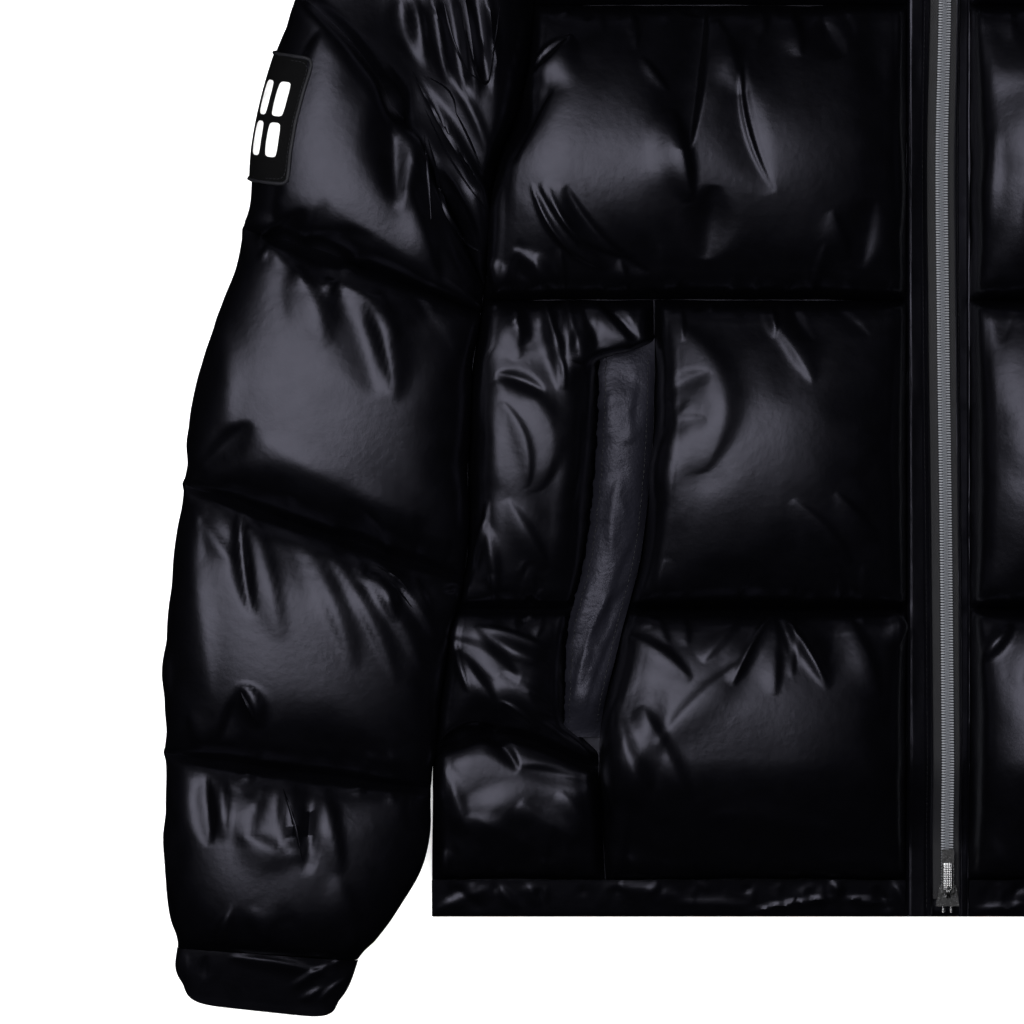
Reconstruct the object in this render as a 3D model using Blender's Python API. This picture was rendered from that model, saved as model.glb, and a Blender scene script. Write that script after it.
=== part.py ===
"""Quilted puffer jacket, zipped up and laid flat on its back with the sleeves at its sides.

Metres, +Z up, +Y towards the collar. The wearer's right side lies at -X.
The tables below give X from the centre front and V, the height above the hem's edge.
"""
import math

import bmesh
import bpy
import numpy as np
from mathutils import Matrix, Vector

MM = 0.001

# Body: heights of the quilting seams above the hem's edge
HEM_SEAM = 22 * MM
LOW_SEAM = 181.4 * MM
MID_SEAM = 361.5 * MM
YOKE_SEAM = 534 * MM
SHOULDER = (262 * MM, 640 * MM)
NECK = (95 * MM, 700 * MM)
FRONT_NECK = 612 * MM
BACK_NECK_DROP = 16 * MM
NECK_STEPS = 3
COLLAR_HEIGHT = 85 * MM
COLLAR_TOP = NECK[1] + COLLAR_HEIGHT
COLLAR_TOP_HALF = 92 * MM
COLLAR_BACK_DIP = 8 * MM
CUFF_LOW = -53 * MM
MIDDLE = (COLLAR_TOP + CUFF_LOW) / 2

# The side of the body from hem to underarm, then the armhole seam up to the shoulder
BODY_EDGE = (  # v, x (mm)
    (0, 300), (60, 299.6), (104, 298.5), (170, 289), (205, 280.5), (240, 279), (303, 277.5),
    (361.5, 270), (387, 266.2), (440, 262), (475, 250), (534, 241), (590, 246), (640, 262))
UNDERARM = 387 * MM
POCKET_EDGE = (  # v, x (mm)
    (22, 198), (60, 200), (104, 201.8), (163, 190), (209, 178.4), (256, 172.6), (320, 169.7), (361.5, 169.7))
ZIP_MIDDLE = (  # v, x (mm)
    (0, 2.6), (60, 2.3), (221, 0.9), (350, -0.8), (449, -1.5), (537, 0.3), (620, 0), (697, 0))
FRONT_EDGE = {-1: 22 * MM, 1: 15 * MM}
PLACKET_EDGE = {-1: 9 * MM, 1: 7.3 * MM}

# Heights above the surface that the jacket lies on
SEAM_GAP = 0.3 * MM
HEM_PLANE = 8 * MM
BODY_PLANE = 20 * MM
PLANE_RISES = (40 * MM, 95 * MM)
EDGE_WALL = 6 * MM
SEAM_WALL = 5 * MM
BACK_GROOVE = 7 * MM
BACK_EDGE_WALL = 7 * MM
GROOVE_REACH = 20 * MM
HEM_WALL = 4 * MM
COLLAR_CREST = 20 * MM
YOKE_CREST = 34 * MM
CHEST_CREST = 46 * MM
FRONT_CREST = 48 * MM
SIDE_CREST = 34 * MM
SIDE_CREST_SHARES = (0.75, 0.7, 1.0)
SIDE_EXTRA_SEAM = 95 * MM
SIDE_EDGE = 40 * MM
COLLAR_EDGE = 20 * MM
GATHER_PITCH = 46 * MM
GATHER_RISE = 2.6 * MM

# Largest folds of the fronts: centre, length, heading from +X, half width and rise
FOLDS = (  # x, v, length (mm), heading (degrees), width, rise (mm)
    (150, 445, 110, 100, 13, -15),
    (168, 425, 90, 60, 14, 8),
    (232, 480, 60, 75, 12, -10),
    (246, 432, 80, 95, 11, 8),
    (262, 288, 70, 70, 12, 12),
    (247, 268, 60, 110, 10, -8),
    (150, 300, 60, 40, 13, -9),
    (158, 272, 80, 100, 14, 9),
    (196, 95, 90, 60, 14, 9),
    (150, 140, 90, 35, 13, -8),
    (76, 135, 80, 130, 13, 6))

# Sleeve: its outer and inner edges, one row for each station from the armhole to the cuff seam
SLEEVE_ROWS = (  # outer x, outer v, inner x, inner v (mm), seam
    (262.8, 640, 267.4, 386.0, 1),
    (332, 610, 268.0, 377, 0),
    (379, 541, 269.2, 368, 1),
    (406, 468, 270.6, 362, 0),
    (411, 403, 271.8, 354, 1),
    (432, 338, 277.4, 322, 0),
    (445, 290, 280.2, 262, 0),
    (446, 254, 282.0, 199, 1),
    (455, 195, 291.6, 165, 0),
    (458.6, 140, 297.8, 118, 0),
    (457, 97, 300.4, 76, 1),
    (458.6, 50, 304, 36, 0),
    (456, 8, 319, -2, 0),
    (449, -17.5, 343, -25, 1))
CUFF_ROWS = (  # outer x, outer v, inner x, inner v (mm)
    (449.6, -18.2, 343.4, -25.8), (451, -30, 347.5, -39), (449.5, -42.5, 352, -53))
SLEEVE_CREST = 76 * MM
SLEEVE_VALLEY = 36 * MM
SLEEVE_ARMHOLE = 29 * MM
SLEEVE_CUFF = 24 * MM
SLEEVE_EDGE = 27 * MM
SLEEVE_SLIT = (19.6 * MM, 22.6 * MM)
SLEEVE_SLIT_INSET = 27 * MM
CUFF_TOP = 18 * MM
CUFF_SLIT = (7.4 * MM, 10.4 * MM)
CUFF_SLIT_INSET = 9 * MM
AROUND = 22
RINGS_A_BAFFLE = 5
PATCH_ROWS = (2.42, 3.55)
PATCH_ANGLES = (math.radians(126), math.radians(196))
PATCH_THICK = 1.4 * MM

# Pocket welt
WELT_WIDTH = 33 * MM
WELT_ENDS = (104 * MM, 356 * MM)
BAND_START = 55 * MM
BAND_REACH = 37 * MM
BAND_LEAST_SHARE = 0.15
WELT_TAPER = 45 * MM
WELT_THICK = 4 * MM

# Zip
CHAIN_HALF = 3.6 * MM
CHAIN_Z = (1.5 * MM, 5.1 * MM)
TAPE_Z = (2.7 * MM, 3.6 * MM)
PLACKET_Z = (3.9 * MM, 6.4 * MM)
SLIDER_LENGTH = 12.4 * MM
SLIDER_WIDE = 6.8 * MM
SLIDER_NARROW = 5.0 * MM
SLIDER_LOW_PLATE = (0.2 * MM, 1.2 * MM)
SLIDER_TOP_PLATE = (5.4 * MM, 6.8 * MM)
SLIDER_POST_HALF = 2.6 * MM
SLIDER_POST_LENGTH = 3.6 * MM
BOTTOM_SLIDER_V = 6.2 * MM
TOP_SLIDER_V = 693 * MM
PULL_AXIS_ALONG = 8.6 * MM
PULL_AXIS_RISE = 8.3 * MM
PULL_BAR_RADIUS = 0.8 * MM
PULL_HALF = 3.6 * MM
PULL_REACH = 24.9 * MM
PULL_THICK = 1.6 * MM
PULL_SLOT_HALF = 1.7 * MM
PULL_SLOT_END = 4.7 * MM
BAIL_RADIUS = 2.7 * MM
BAIL_WIRE = 0.6 * MM
PIN_RADIUS = 1.3 * MM
PIN_LENGTH = 3.6 * MM
PIN_OFFSET = 2.3 * MM

SHELL_COLOUR = (0.012, 0.012, 0.015, 1)
TAPE_COLOUR = (0.016, 0.016, 0.02, 1)
CHAIN_COLOUR = (0.32, 0.33, 0.36, 1)
METAL_COLOUR = (0.46, 0.46, 0.48, 1)
PATCH_COLOUR = (0.008, 0.008, 0.01, 1)


def start_scene():
    """Empty the scene and give the jacket its own collection."""
    for thing in list(bpy.data.objects):
        bpy.data.objects.remove(thing)
    jacket = bpy.data.collections.new("puffer_jacket")
    bpy.context.scene.collection.children.link(jacket)
    return jacket


def material(name, colour, roughness, metallic=0.0):
    """A Principled material with one colour."""
    made = bpy.data.materials.new(name)
    made.use_nodes = True
    shader = made.node_tree.nodes["Principled BSDF"]
    shader.inputs["Base Color"].default_value = colour
    shader.inputs["Roughness"].default_value = roughness
    shader.inputs["Metallic"].default_value = metallic
    return made


def smooth(table, at, column=1):
    """Read one column of a table in mm at the heights `at`, along a cubic through its rows."""
    rows = np.array([row[:4] for row in table], dtype=float) * MM
    return cubic(rows[:, 0], rows[:, column], at)


def cubic(knots, values, at):
    """A cubic through the values, its slope at each knot taken from both neighbours."""
    at = np.clip(np.asarray(at, dtype=float), knots[0], knots[-1])
    slope = np.gradient(values, knots)
    i = np.clip(np.searchsorted(knots, at) - 1, 0, len(knots) - 2)
    step = knots[i + 1] - knots[i]
    w = (at - knots[i]) / step
    start = values[i] + (3 * w**2 - 2 * w**3) * (values[i + 1] - values[i])
    return start + step * ((w - 2 * w**2 + w**3) * slope[i] + (w**3 - w**2) * slope[i + 1])


def ease(w):
    """Rise from 0 to 1 with level ends."""
    w = np.clip(w, 0, 1)
    return w * w * (3 - 2 * w)


def arc(distance, reach):
    """A quarter round: 0 at an edge, 1 from `reach` inwards."""
    w = np.clip(distance / reach, 0, 1)
    return np.sqrt(1 - (1 - w) ** 2)


def middle_plane(v):
    """Height of the plane where the fronts lie on the back; it sinks towards the hem."""
    low, high = PLANE_RISES
    return HEM_PLANE + (BODY_PLANE - HEM_PLANE) * ease((np.asarray(v) - low) / (high - low))


def pillow_stations(low, high, steps):
    """Stations between two seams, closer together beside them."""
    turn = np.linspace(0, math.pi, steps + 1)
    return low + (high - low) * (0.5 - 0.5 * np.cos(turn)) ** 0.97


def pillow(v, low, high):
    """Loft between two seams: 0 at them, 1 half way."""
    w = np.clip((v - low) / (high - low), 0, 1)
    return np.sqrt(1 - (2 * w - 1) ** 2) ** 0.85


def gather(x, loft, phase):
    """Soft pleats beside the seams, fading out over the crest."""
    return GATHER_RISE * 4 * loft * (1 - loft) * np.cos(2 * math.pi * x / GATHER_PITCH + phase)


def fold_rise(x, v):
    """Sum of the largest folds, each a soft ridge or trough with tapered ends."""
    rise = np.zeros(np.broadcast(x, v).shape)
    for fold in FOLDS:
        centre_x, centre_v, length = fold[0] * MM, fold[1] * MM, fold[2] * MM
        heading, width, height = math.radians(fold[3]), fold[4] * MM, fold[5] * MM
        along = (x - centre_x) * math.cos(heading) + (v - centre_v) * math.sin(heading)
        across = (v - centre_v) * math.cos(heading) - (x - centre_x) * math.sin(heading)
        rise += height * np.exp(-(across / width) ** 2 - (2 * along / length) ** 4)
    return rise


def front_wall(x, v, low, high, inner, outer, crest, phase, reach=48 * MM):
    """Thickness of a quilted front panel between seams low and high and edges inner and outer."""
    loft = pillow(v, low, high) * arc(x - inner, reach) * arc(outer - x, reach)
    wall = SEAM_WALL + crest * loft + gather(x, loft, phase) * np.sign(loft)
    return np.maximum(wall + fold_rise(x, v) * ease(loft * 2), SEAM_WALL)


def points(x, v, z):
    """Stack coordinates into points, with the origin under the middle of the jacket's box."""
    x, v, z = np.broadcast_arrays(x, v, z)
    return np.stack([x, v - MIDDLE, z], axis=-1)


def add_object(name, verts, faces, jacket, finish):
    """Make a closed mesh object with its faces pointing out."""
    mesh = bpy.data.meshes.new(name)
    mesh.from_pydata(verts.tolist(), [], faces)
    work = bmesh.new()
    work.from_mesh(mesh)
    bmesh.ops.recalc_face_normals(work, faces=work.faces)
    bmesh.ops.triangulate(work, faces=work.faces)
    work.to_mesh(mesh)
    work.free()
    mesh.shade_smooth()
    mesh.set_sharp_from_angle(angle=math.radians(40))
    mesh.materials.append(finish)
    made = bpy.data.objects.new(name, mesh)
    jacket.objects.link(made)
    return made


def quads(first, second, third, fourth):
    """Faces from four equal arrays of corner numbers."""
    return np.stack([first, second, third, fourth], axis=-1).reshape(-1, 4).tolist()


def wall_panel(name, inner, outer, jacket, finish):
    """A cloth wall between two grids of points that share their rows and columns."""
    rows, cols = inner.shape[:2]
    a = np.arange(rows * cols).reshape(rows, cols)
    b = a + rows * cols
    faces = quads(a[:-1, :-1], a[:-1, 1:], a[1:, 1:], a[1:, :-1])
    faces += quads(b[:-1, :-1], b[1:, :-1], b[1:, 1:], b[:-1, 1:])
    rim_a = np.concatenate([a[0, :-1], a[:-1, -1], a[-1, :0:-1], a[:0:-1, 0]])
    rim_b = rim_a + rows * cols
    faces += quads(rim_a, rim_b, np.roll(rim_b, -1), np.roll(rim_a, -1))
    verts = np.concatenate([inner.reshape(-1, 3), outer.reshape(-1, 3)])
    return add_object(name, verts, faces, jacket, finish)


def wall_tube(name, rings, jacket, finish):
    """A tube with a wall: rings run down its outside and back up its inside."""
    rows, cols = rings.shape[:2]
    a = np.arange(rows * cols).reshape(rows, cols)
    b = np.roll(a, -1, axis=0)
    faces = quads(a, np.roll(a, -1, axis=1), np.roll(b, -1, axis=1), b)
    return add_object(name, rings.reshape(-1, 3), faces, jacket, finish)


def between(low, high, w):
    """Straight mix of two values or arrays."""
    return low + (high - low) * w


def body_rows():
    """Heights shared by every piece of the body below the yoke seam."""
    hem = np.linspace(0, HEM_SEAM, 3)
    low = pillow_stations(HEM_SEAM, LOW_SEAM, 8)
    middle = pillow_stations(LOW_SEAM, MID_SEAM, 8)
    chest = pillow_stations(MID_SEAM, YOKE_SEAM, 8)
    return hem, low, middle, chest


def side_name(name, side):
    """Add the wearer's side to a name."""
    return name + ("_right" if side < 0 else "_left")


def front_neckline(x):
    """Height of the front neckline at a distance from the centre front."""
    return FRONT_NECK + (NECK[1] - FRONT_NECK) * (x / NECK[0]) ** 2


def back_neckline(x):
    """Height of the back neckline."""
    return NECK[1] - BACK_NECK_DROP * (1 - (x / NECK[0]) ** 2)


def shoulder_line(x):
    """Height of the straight shoulder seam."""
    return between(NECK[1], SHOULDER[1], (x - NECK[0]) / (SHOULDER[0] - NECK[0]))


def make_chest(side, jacket, finish):
    """Chest panel from the zip to the armhole, between the middle and yoke seams."""
    v = body_rows()[3][:, None]
    v = np.clip(v, MID_SEAM + SEAM_GAP / 2, YOKE_SEAM - SEAM_GAP / 2)
    inner = FRONT_EDGE[side]
    outer = smooth(BODY_EDGE, v)
    x = between(inner, outer, pillow_stations(0, 1, 14)[None, :])
    wall = front_wall(x, v, MID_SEAM, YOKE_SEAM, inner, outer, CHEST_CREST, side)
    low = middle_plane(v) + SEAM_GAP / 2
    wall_panel(side_name("chest", side), points(side * x, v, low), points(side * x, v, low + wall), jacket, finish)


def make_front(side, jacket, finish):
    """Lower front with two baffles, from the zip to the pocket's edge."""
    hem, low_rows, middle_rows, chest = body_rows()
    v = np.concatenate([low_rows, middle_rows[1:]])[:, None]
    v = np.clip(v, HEM_SEAM + SEAM_GAP / 2, MID_SEAM - SEAM_GAP / 2)
    inner = FRONT_EDGE[side]
    outer = smooth(POCKET_EDGE, v) - SEAM_GAP / 2
    x = between(inner, outer, pillow_stations(0, 1, 12)[None, :])
    lower = front_wall(x, v, HEM_SEAM, LOW_SEAM, inner, outer, FRONT_CREST, 1.3 * side)
    upper = front_wall(x, v, LOW_SEAM, MID_SEAM, inner, outer, FRONT_CREST, 2.1 * side)
    low = middle_plane(v) + SEAM_GAP / 2
    wall = np.where(v < LOW_SEAM, lower, upper)
    wall_panel(side_name("front", side), points(side * x, v, low), points(side * x, v, low + wall), jacket, finish)


def plain_band(v):
    """Width of the side panel's plain band, which carries the welt and closes below it."""
    opening = ease((v - BAND_START) / BAND_REACH)
    return (WELT_WIDTH + SEAM_GAP) * between(BAND_LEAST_SHARE, 1, opening)


def side_wall(x, v):
    """Thickness of the side panel: plain under the welt, quilted outside it."""
    start = smooth(POCKET_EDGE, v) + plain_band(v)
    outer = smooth(BODY_EDGE, v)
    seams = (HEM_SEAM, SIDE_EXTRA_SEAM, LOW_SEAM, MID_SEAM)
    lofts = [pillow(v, low, high) for low, high in zip(seams[:-1], seams[1:])]
    loft = sum(share * part for share, part in zip(SIDE_CREST_SHARES, lofts)) * arc(outer - x, SIDE_EDGE)
    loft = loft * arc(np.maximum(x - start, 0), SIDE_EDGE)
    folds = fold_rise(x, v) * ease(loft * 2)
    return np.maximum(SEAM_WALL + SIDE_CREST * loft + folds, SEAM_WALL)


def side_columns(v):
    """Distances from the centre front across the side panel, three of them under the welt."""
    start = smooth(POCKET_EDGE, v) + SEAM_GAP / 2
    bend = smooth(POCKET_EDGE, v) + plain_band(v)
    end = smooth(BODY_EDGE, v)
    return np.concatenate([between(start, bend, np.linspace(0, 1, 3)[None, :-1]),
                           between(bend, end, pillow_stations(0, 1, 6)[None, :])], axis=1)


def make_side(side, jacket, finish):
    """Side panel with its baffles, from the pocket's edge to the side seam."""
    hem, low_rows, middle_rows, chest = body_rows()
    v = np.concatenate([low_rows, middle_rows[1:]])[:, None]
    v = np.clip(v, HEM_SEAM + SEAM_GAP / 2, MID_SEAM - SEAM_GAP / 2)
    x = side_columns(v)
    low = middle_plane(v) + SEAM_GAP / 2
    high = low + side_wall(x, v)
    wall_panel(side_name("side", side), points(side * x, v, low), points(side * x, v, high), jacket, finish)


def make_yoke(side, jacket, finish):
    """Yoke from the chest to the shoulder seam and the neckline."""
    inner = FRONT_EDGE[side]
    low = YOKE_SEAM + SEAM_GAP / 2
    neck = between(inner, NECK[0], np.linspace(0, 1, 6))
    reach = between(NECK[0], SHOULDER[0], np.linspace(0, 1, 9)[1:])
    top = np.concatenate([front_neckline(neck) - SEAM_GAP / 2, shoulder_line(reach)])
    w = pillow_stations(0, 1, 7)[:, None]
    v = between(low, top[None, :], w)
    share = (np.concatenate([neck, reach]) - inner) / (SHOULDER[0] - inner)
    outer = smooth(BODY_EDGE, v[:, -1:])
    x = between(inner, outer, share[None, :])
    loft = np.sqrt(1 - (2 * w - 1) ** 2) * arc(x - inner, 40 * MM) * arc(outer - x, 45 * MM)
    wall = SEAM_WALL + YOKE_CREST * loft + gather(x, loft, side)
    base = BODY_PLANE + SEAM_GAP / 2
    wall_panel(side_name("yoke", side), points(side * x, v, base), points(side * x, v, base + wall),
               jacket, finish)


def back_shares():
    """Shares of the half width that give the back its columns, closer together at the side."""
    neck = np.linspace(0, 1, NECK_STEPS + 1) * NECK[0] / SHOULDER[0]
    half = np.concatenate([neck, [0.55, 0.74, 0.92, 0.975, 1.0]])
    return np.concatenate([-half[:0:-1], half])


def make_back(jacket, finish):
    """Back panel: plain above, quilted below with grooves at its seams, flat where it rests."""
    seams = (HEM_SEAM, LOW_SEAM, MID_SEAM, YOKE_SEAM)
    share = back_shares()[None, :]
    hem, low_rows, middle_rows, chest = body_rows()
    rests = [LOW_SEAM, LOW_SEAM + 7 * MM, LOW_SEAM + GROOVE_REACH, (LOW_SEAM + MID_SEAM) / 2,
             MID_SEAM - GROOVE_REACH, MID_SEAM - 7 * MM]
    v = np.concatenate([low_rows[:-1], rests, chest[:-1]])[:, None]
    v[0] += SEAM_GAP / 2
    v = np.concatenate([v, v[2:3] * 0 + YOKE_SEAM])
    x = share * smooth(BODY_EDGE, v)
    top_x = share[0] * SHOULDER[0]
    neck = np.abs(top_x) <= NECK[0] + 0.1 * MM
    top = np.where(neck, back_neckline(top_x) - SEAM_GAP / 2, shoulder_line(np.abs(top_x)))
    yoke_shares = np.array([0.06, 0.18, 0.5, 0.82, 0.94, 1])[:, None]
    yoke_v = between(YOKE_SEAM, top[None, :], yoke_shares)
    x = np.concatenate([x, share * smooth(BODY_EDGE, yoke_v[:, -1:])])
    v = np.concatenate([np.repeat(v, share.size, axis=1), yoke_v])
    last = between(YOKE_SEAM, top[None, :], 1)
    distance = np.minimum(np.abs(v - HEM_SEAM), np.abs(last - v))
    for seam in seams[1:]:
        distance = np.minimum(distance, np.abs(v - seam))
    edge = smooth(BODY_EDGE, v) - np.abs(x)
    high = middle_plane(v) - SEAM_GAP / 2
    groove = np.minimum(BACK_GROOVE, high - BACK_EDGE_WALL / 2) * (1 - arc(distance, GROOVE_REACH))
    rounded = (high - BACK_EDGE_WALL) * (1 - arc(edge, GROOVE_REACH))
    ended = (high - BACK_EDGE_WALL) * (1 - arc(last - v, GROOVE_REACH))
    low = np.clip(np.maximum(np.maximum(groove, rounded), ended), 0, high - 3 * MM)
    wall_panel("back", points(x, v, low), points(x, v, high), jacket, finish)


def make_hems(jacket, finish):
    """Hem bands of the two fronts and of the back."""
    v = body_rows()[0][:, None]
    v = np.clip(v, 0, HEM_SEAM - SEAM_GAP / 2)
    end = smooth(BODY_EDGE, v)
    low = middle_plane(v) + SEAM_GAP / 2
    for side in (-1, 1):
        x = between(FRONT_EDGE[side], end, np.linspace(0, 1, 13)[None, :])
        wall = HEM_WALL + 0.9 * MM * np.sin(2 * math.pi * x / GATHER_PITCH)
        wall_panel(side_name("hem", side), points(side * x, v, low), points(side * x, v, low + wall), jacket, finish)
    x = np.linspace(-1, 1, 17)[None, :] * end
    high = middle_plane(v) - SEAM_GAP / 2
    wall_panel("hem_back", points(x, v, 0 * x), points(x, v, high), jacket, finish)


def sleeve_edges(t, rows):
    """Outer and inner edge points of a sleeve or cuff at station numbers t."""
    table = np.array([row[:4] for row in rows], dtype=float) * MM
    knots = np.arange(len(rows), dtype=float)
    columns = [cubic(knots, table[:, i], t) for i in range(4)]
    return columns


def seam_loft(t):
    """Loft of the sleeve between its seams, and how far it is from a seam at station t."""
    seams = [i for i, row in enumerate(SLEEVE_ROWS) if row[4]]
    loft = np.zeros(np.shape(t))
    for low, high in zip(seams[:-1], seams[1:]):
        inside = (t >= low) & (t <= high)
        w = np.clip((t - low) / (high - low), 0, 1)
        loft = np.where(inside, np.sqrt(1 - (2 * w - 1) ** 2) ** 0.85, loft)
    return loft


def valley_height(t):
    """Height of the sleeve's top at its seams, lower at the armhole and the cuff."""
    last = len(SLEEVE_ROWS) - 1
    start = between(SLEEVE_ARMHOLE, SLEEVE_VALLEY, ease(t / 2))
    return between(start, SLEEVE_CUFF, ease((t - last + 2) / 2))


def sleeve_point(t, angle, side):
    """The sleeve's outer surface: a round top over a flat underside, between its two edges."""
    outer_x, outer_v, inner_x, inner_v = sleeve_edges(t, SLEEVE_ROWS)
    loft = seam_loft(t)
    reach = np.sign(np.cos(angle)) * np.abs(np.cos(angle)) ** 0.85
    bow = armhole_bow(t, reach)
    x = between(inner_x, outer_x, 0.5 - 0.5 * reach) + bow
    v = between(inner_v, outer_v, 0.5 - 0.5 * reach)
    rise = np.abs(np.sin(angle)) ** 0.8
    last = len(SLEEVE_ROWS) - 1
    edge = between(SLEEVE_EDGE, 16 * MM, ease(np.abs(t / last - 0.5) * 8 - 3))
    top = valley_height(t) + (SLEEVE_CREST - valley_height(t)) * loft
    above = edge + (top - edge) * rise
    groove = BACK_GROOVE * (1 - loft) * rise
    below = np.maximum(edge * (1 - 1.5 * np.abs(np.sin(angle)) ** 0.7), 0) + groove
    return points(side * x, v, np.where(np.sin(angle) >= 0, above, below))


def armhole_bow(t, reach):
    """Sideways bow of the first stations, so that they follow the curved armhole seam."""
    outer_x, outer_v, inner_x, inner_v = sleeve_edges(np.zeros(np.shape(t)), SLEEVE_ROWS)
    share = 0.5 - 0.5 * reach
    v = between(inner_v, outer_v, share)
    straight = between(inner_x, outer_x, share)
    return (smooth(BODY_EDGE, v) + 2.5 * SEAM_GAP - straight) * (1 - ease(t / 2)) ** 2 * (share > 0.001)


def make_sleeve(side, jacket, finish):
    """Sleeve: a flattened quilted tube with a plain slit through it."""
    seams = [i for i, row in enumerate(SLEEVE_ROWS) if row[4]]
    t = [pillow_stations(low, high, RINGS_A_BAFFLE)[:-1] for low, high in zip(seams[:-1], seams[1:])]
    t = np.concatenate(t + [[seams[-1]]])[:, None]
    angle = np.linspace(0, 2 * math.pi, AROUND, endpoint=False)[None, :]
    outside = sleeve_point(t, angle, side)
    back_up = np.linspace(seams[-1], 0, 11)[:, None]
    outer_x, outer_v, inner_x, inner_v = sleeve_edges(back_up, SLEEVE_ROWS)
    width = np.hypot(outer_x - inner_x, outer_v - inner_v)
    reach = np.cos(angle) * (1 - 2 * SLEEVE_SLIT_INSET / width)
    low, high = SLEEVE_SLIT
    x = between(inner_x, outer_x, 0.5 - 0.5 * reach) + armhole_bow(back_up, reach)
    v = between(inner_v, outer_v, 0.5 - 0.5 * reach)
    z = (low + high) / 2 + (high - low) / 2 * np.sin(angle)
    inside = points(side * x, v, z)
    wall_tube(side_name("sleeve", side), np.concatenate([outside, inside]), jacket, finish)


def make_cuff(side, jacket, finish):
    """Cuff band, a short flattened tube with a slit."""
    t = np.array([0, 0.6, 1.4, 2.0])[:, None]
    angle = np.linspace(0, 2 * math.pi, AROUND, endpoint=False)[None, :]
    outer_x, outer_v, inner_x, inner_v = sleeve_edges(t, CUFF_ROWS)
    reach = np.sign(np.cos(angle)) * np.abs(np.cos(angle)) ** 0.85
    x = between(inner_x, outer_x, 0.5 - 0.5 * reach)
    v = between(inner_v, outer_v, 0.5 - 0.5 * reach)
    rise = np.sign(np.sin(angle)) * np.abs(np.sin(angle)) ** 0.6
    z = np.clip(CUFF_TOP / 2 * (1 + 1.15 * rise), 0, CUFF_TOP)
    outside = points(side * x, v, z)
    back_up = np.array([2.0, 1.0, 0.0])[:, None]
    outer_x, outer_v, inner_x, inner_v = sleeve_edges(back_up, CUFF_ROWS)
    width = np.hypot(outer_x - inner_x, outer_v - inner_v)
    reach = np.cos(angle) * (1 - 2 * CUFF_SLIT_INSET / width)
    low, high = CUFF_SLIT
    x = between(inner_x, outer_x, 0.5 - 0.5 * reach)
    v = between(inner_v, outer_v, 0.5 - 0.5 * reach)
    z = (low + high) / 2 + (high - low) / 2 * np.sin(angle)
    inside = points(side * x, v, z)
    wall_tube(side_name("cuff", side), np.concatenate([outside, inside]), jacket, finish)


def make_patch(jacket, finish):
    """Patch on the right sleeve: the sleeve's own points, moved out."""
    t = np.linspace(*PATCH_ROWS, 7)[:, None]
    angle = np.linspace(*PATCH_ANGLES, 6)[None, :]
    t, angle = np.broadcast_arrays(t, angle)
    step = 1e-3
    along = sleeve_point(t + step, angle, -1) - sleeve_point(t - step, angle, -1)
    around = sleeve_point(t, angle + step, -1) - sleeve_point(t, angle - step, -1)
    out = np.cross(along, around)
    out /= np.linalg.norm(out, axis=-1, keepdims=True)
    skin = sleeve_point(t, angle, -1)
    if out[..., 0].mean() > 0:
        out = -out
    low, high = skin + out * 5 * SEAM_GAP, skin + out * (5 * SEAM_GAP + PATCH_THICK)
    wall_panel("sleeve_patch", low, high, jacket, finish)


def make_collar(jacket, finish):
    """Stand collar: two fronts that lie on its back half."""
    w = pillow_stations(0, 1, 6)[:, None]
    for side in (-1, 1):
        inner = FRONT_EDGE[side]
        share = np.linspace(0, 1, 6)
        foot = between(inner, NECK[0], share)[None, :]
        low = front_neckline(foot) + SEAM_GAP / 2
        head = between(inner, COLLAR_TOP_HALF, share)[None, :]
        x = between(foot, head, w)
        v = low + COLLAR_HEIGHT * w
        outer = between(NECK[0], COLLAR_TOP_HALF, w)
        loft = np.sqrt(1 - (2 * w - 1) ** 2) * arc(x - inner, COLLAR_EDGE) * arc(outer - x, COLLAR_EDGE)
        wall = SEAM_WALL + COLLAR_CREST * loft
        base = BODY_PLANE + SEAM_GAP / 2
        wall_panel(side_name("collar", side), points(side * x, v, base), points(side * x, v, base + wall), jacket, finish)
    share = np.linspace(-1, 1, 2 * NECK_STEPS + 1)[None, :]
    w = np.array([0, 0.08, 0.24, 0.5, 0.76, 0.92, 1])[:, None]
    x = share * between(NECK[0], COLLAR_TOP_HALF, w)
    low = back_neckline(share * NECK[0]) + SEAM_GAP / 2
    top = COLLAR_TOP - COLLAR_BACK_DIP * (1 - share**2)
    v = between(low, top, w)
    high = BODY_PLANE - SEAM_GAP / 2
    edge = np.minimum((v - low), (top - v))
    z = (high - BACK_EDGE_WALL) * (1 - arc(edge, GROOVE_REACH))
    wall_panel("collar_back", points(x, v, z), points(x, v, high), jacket, finish)


def make_welt(side, jacket, finish):
    """Pocket welt: the side panel's own points beside the pocket's edge, moved out."""
    hem, low_rows, middle_rows, chest = body_rows()
    v = np.concatenate([low_rows, middle_rows[1:]])
    v = v[(v >= WELT_ENDS[0] - 12 * MM) & (v <= WELT_ENDS[1])][:, None]
    start = smooth(POCKET_EDGE, v) + SEAM_GAP / 2
    top = between(1, 0.55, ease((v - WELT_ENDS[1] + WELT_TAPER) / WELT_TAPER))
    end = start + (WELT_WIDTH - SEAM_GAP) * top
    x = between(start, end, np.linspace(0, 1, 4)[None, :])
    low = middle_plane(v) + SEAM_GAP / 2 + SEAM_WALL + SEAM_GAP
    high = low + WELT_THICK * np.array([0.6, 1, 1, 0.6])[None, :]
    wall_panel(side_name("pocket_welt", side), points(side * x, v, low), points(side * x, v, high), jacket, finish)


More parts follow.
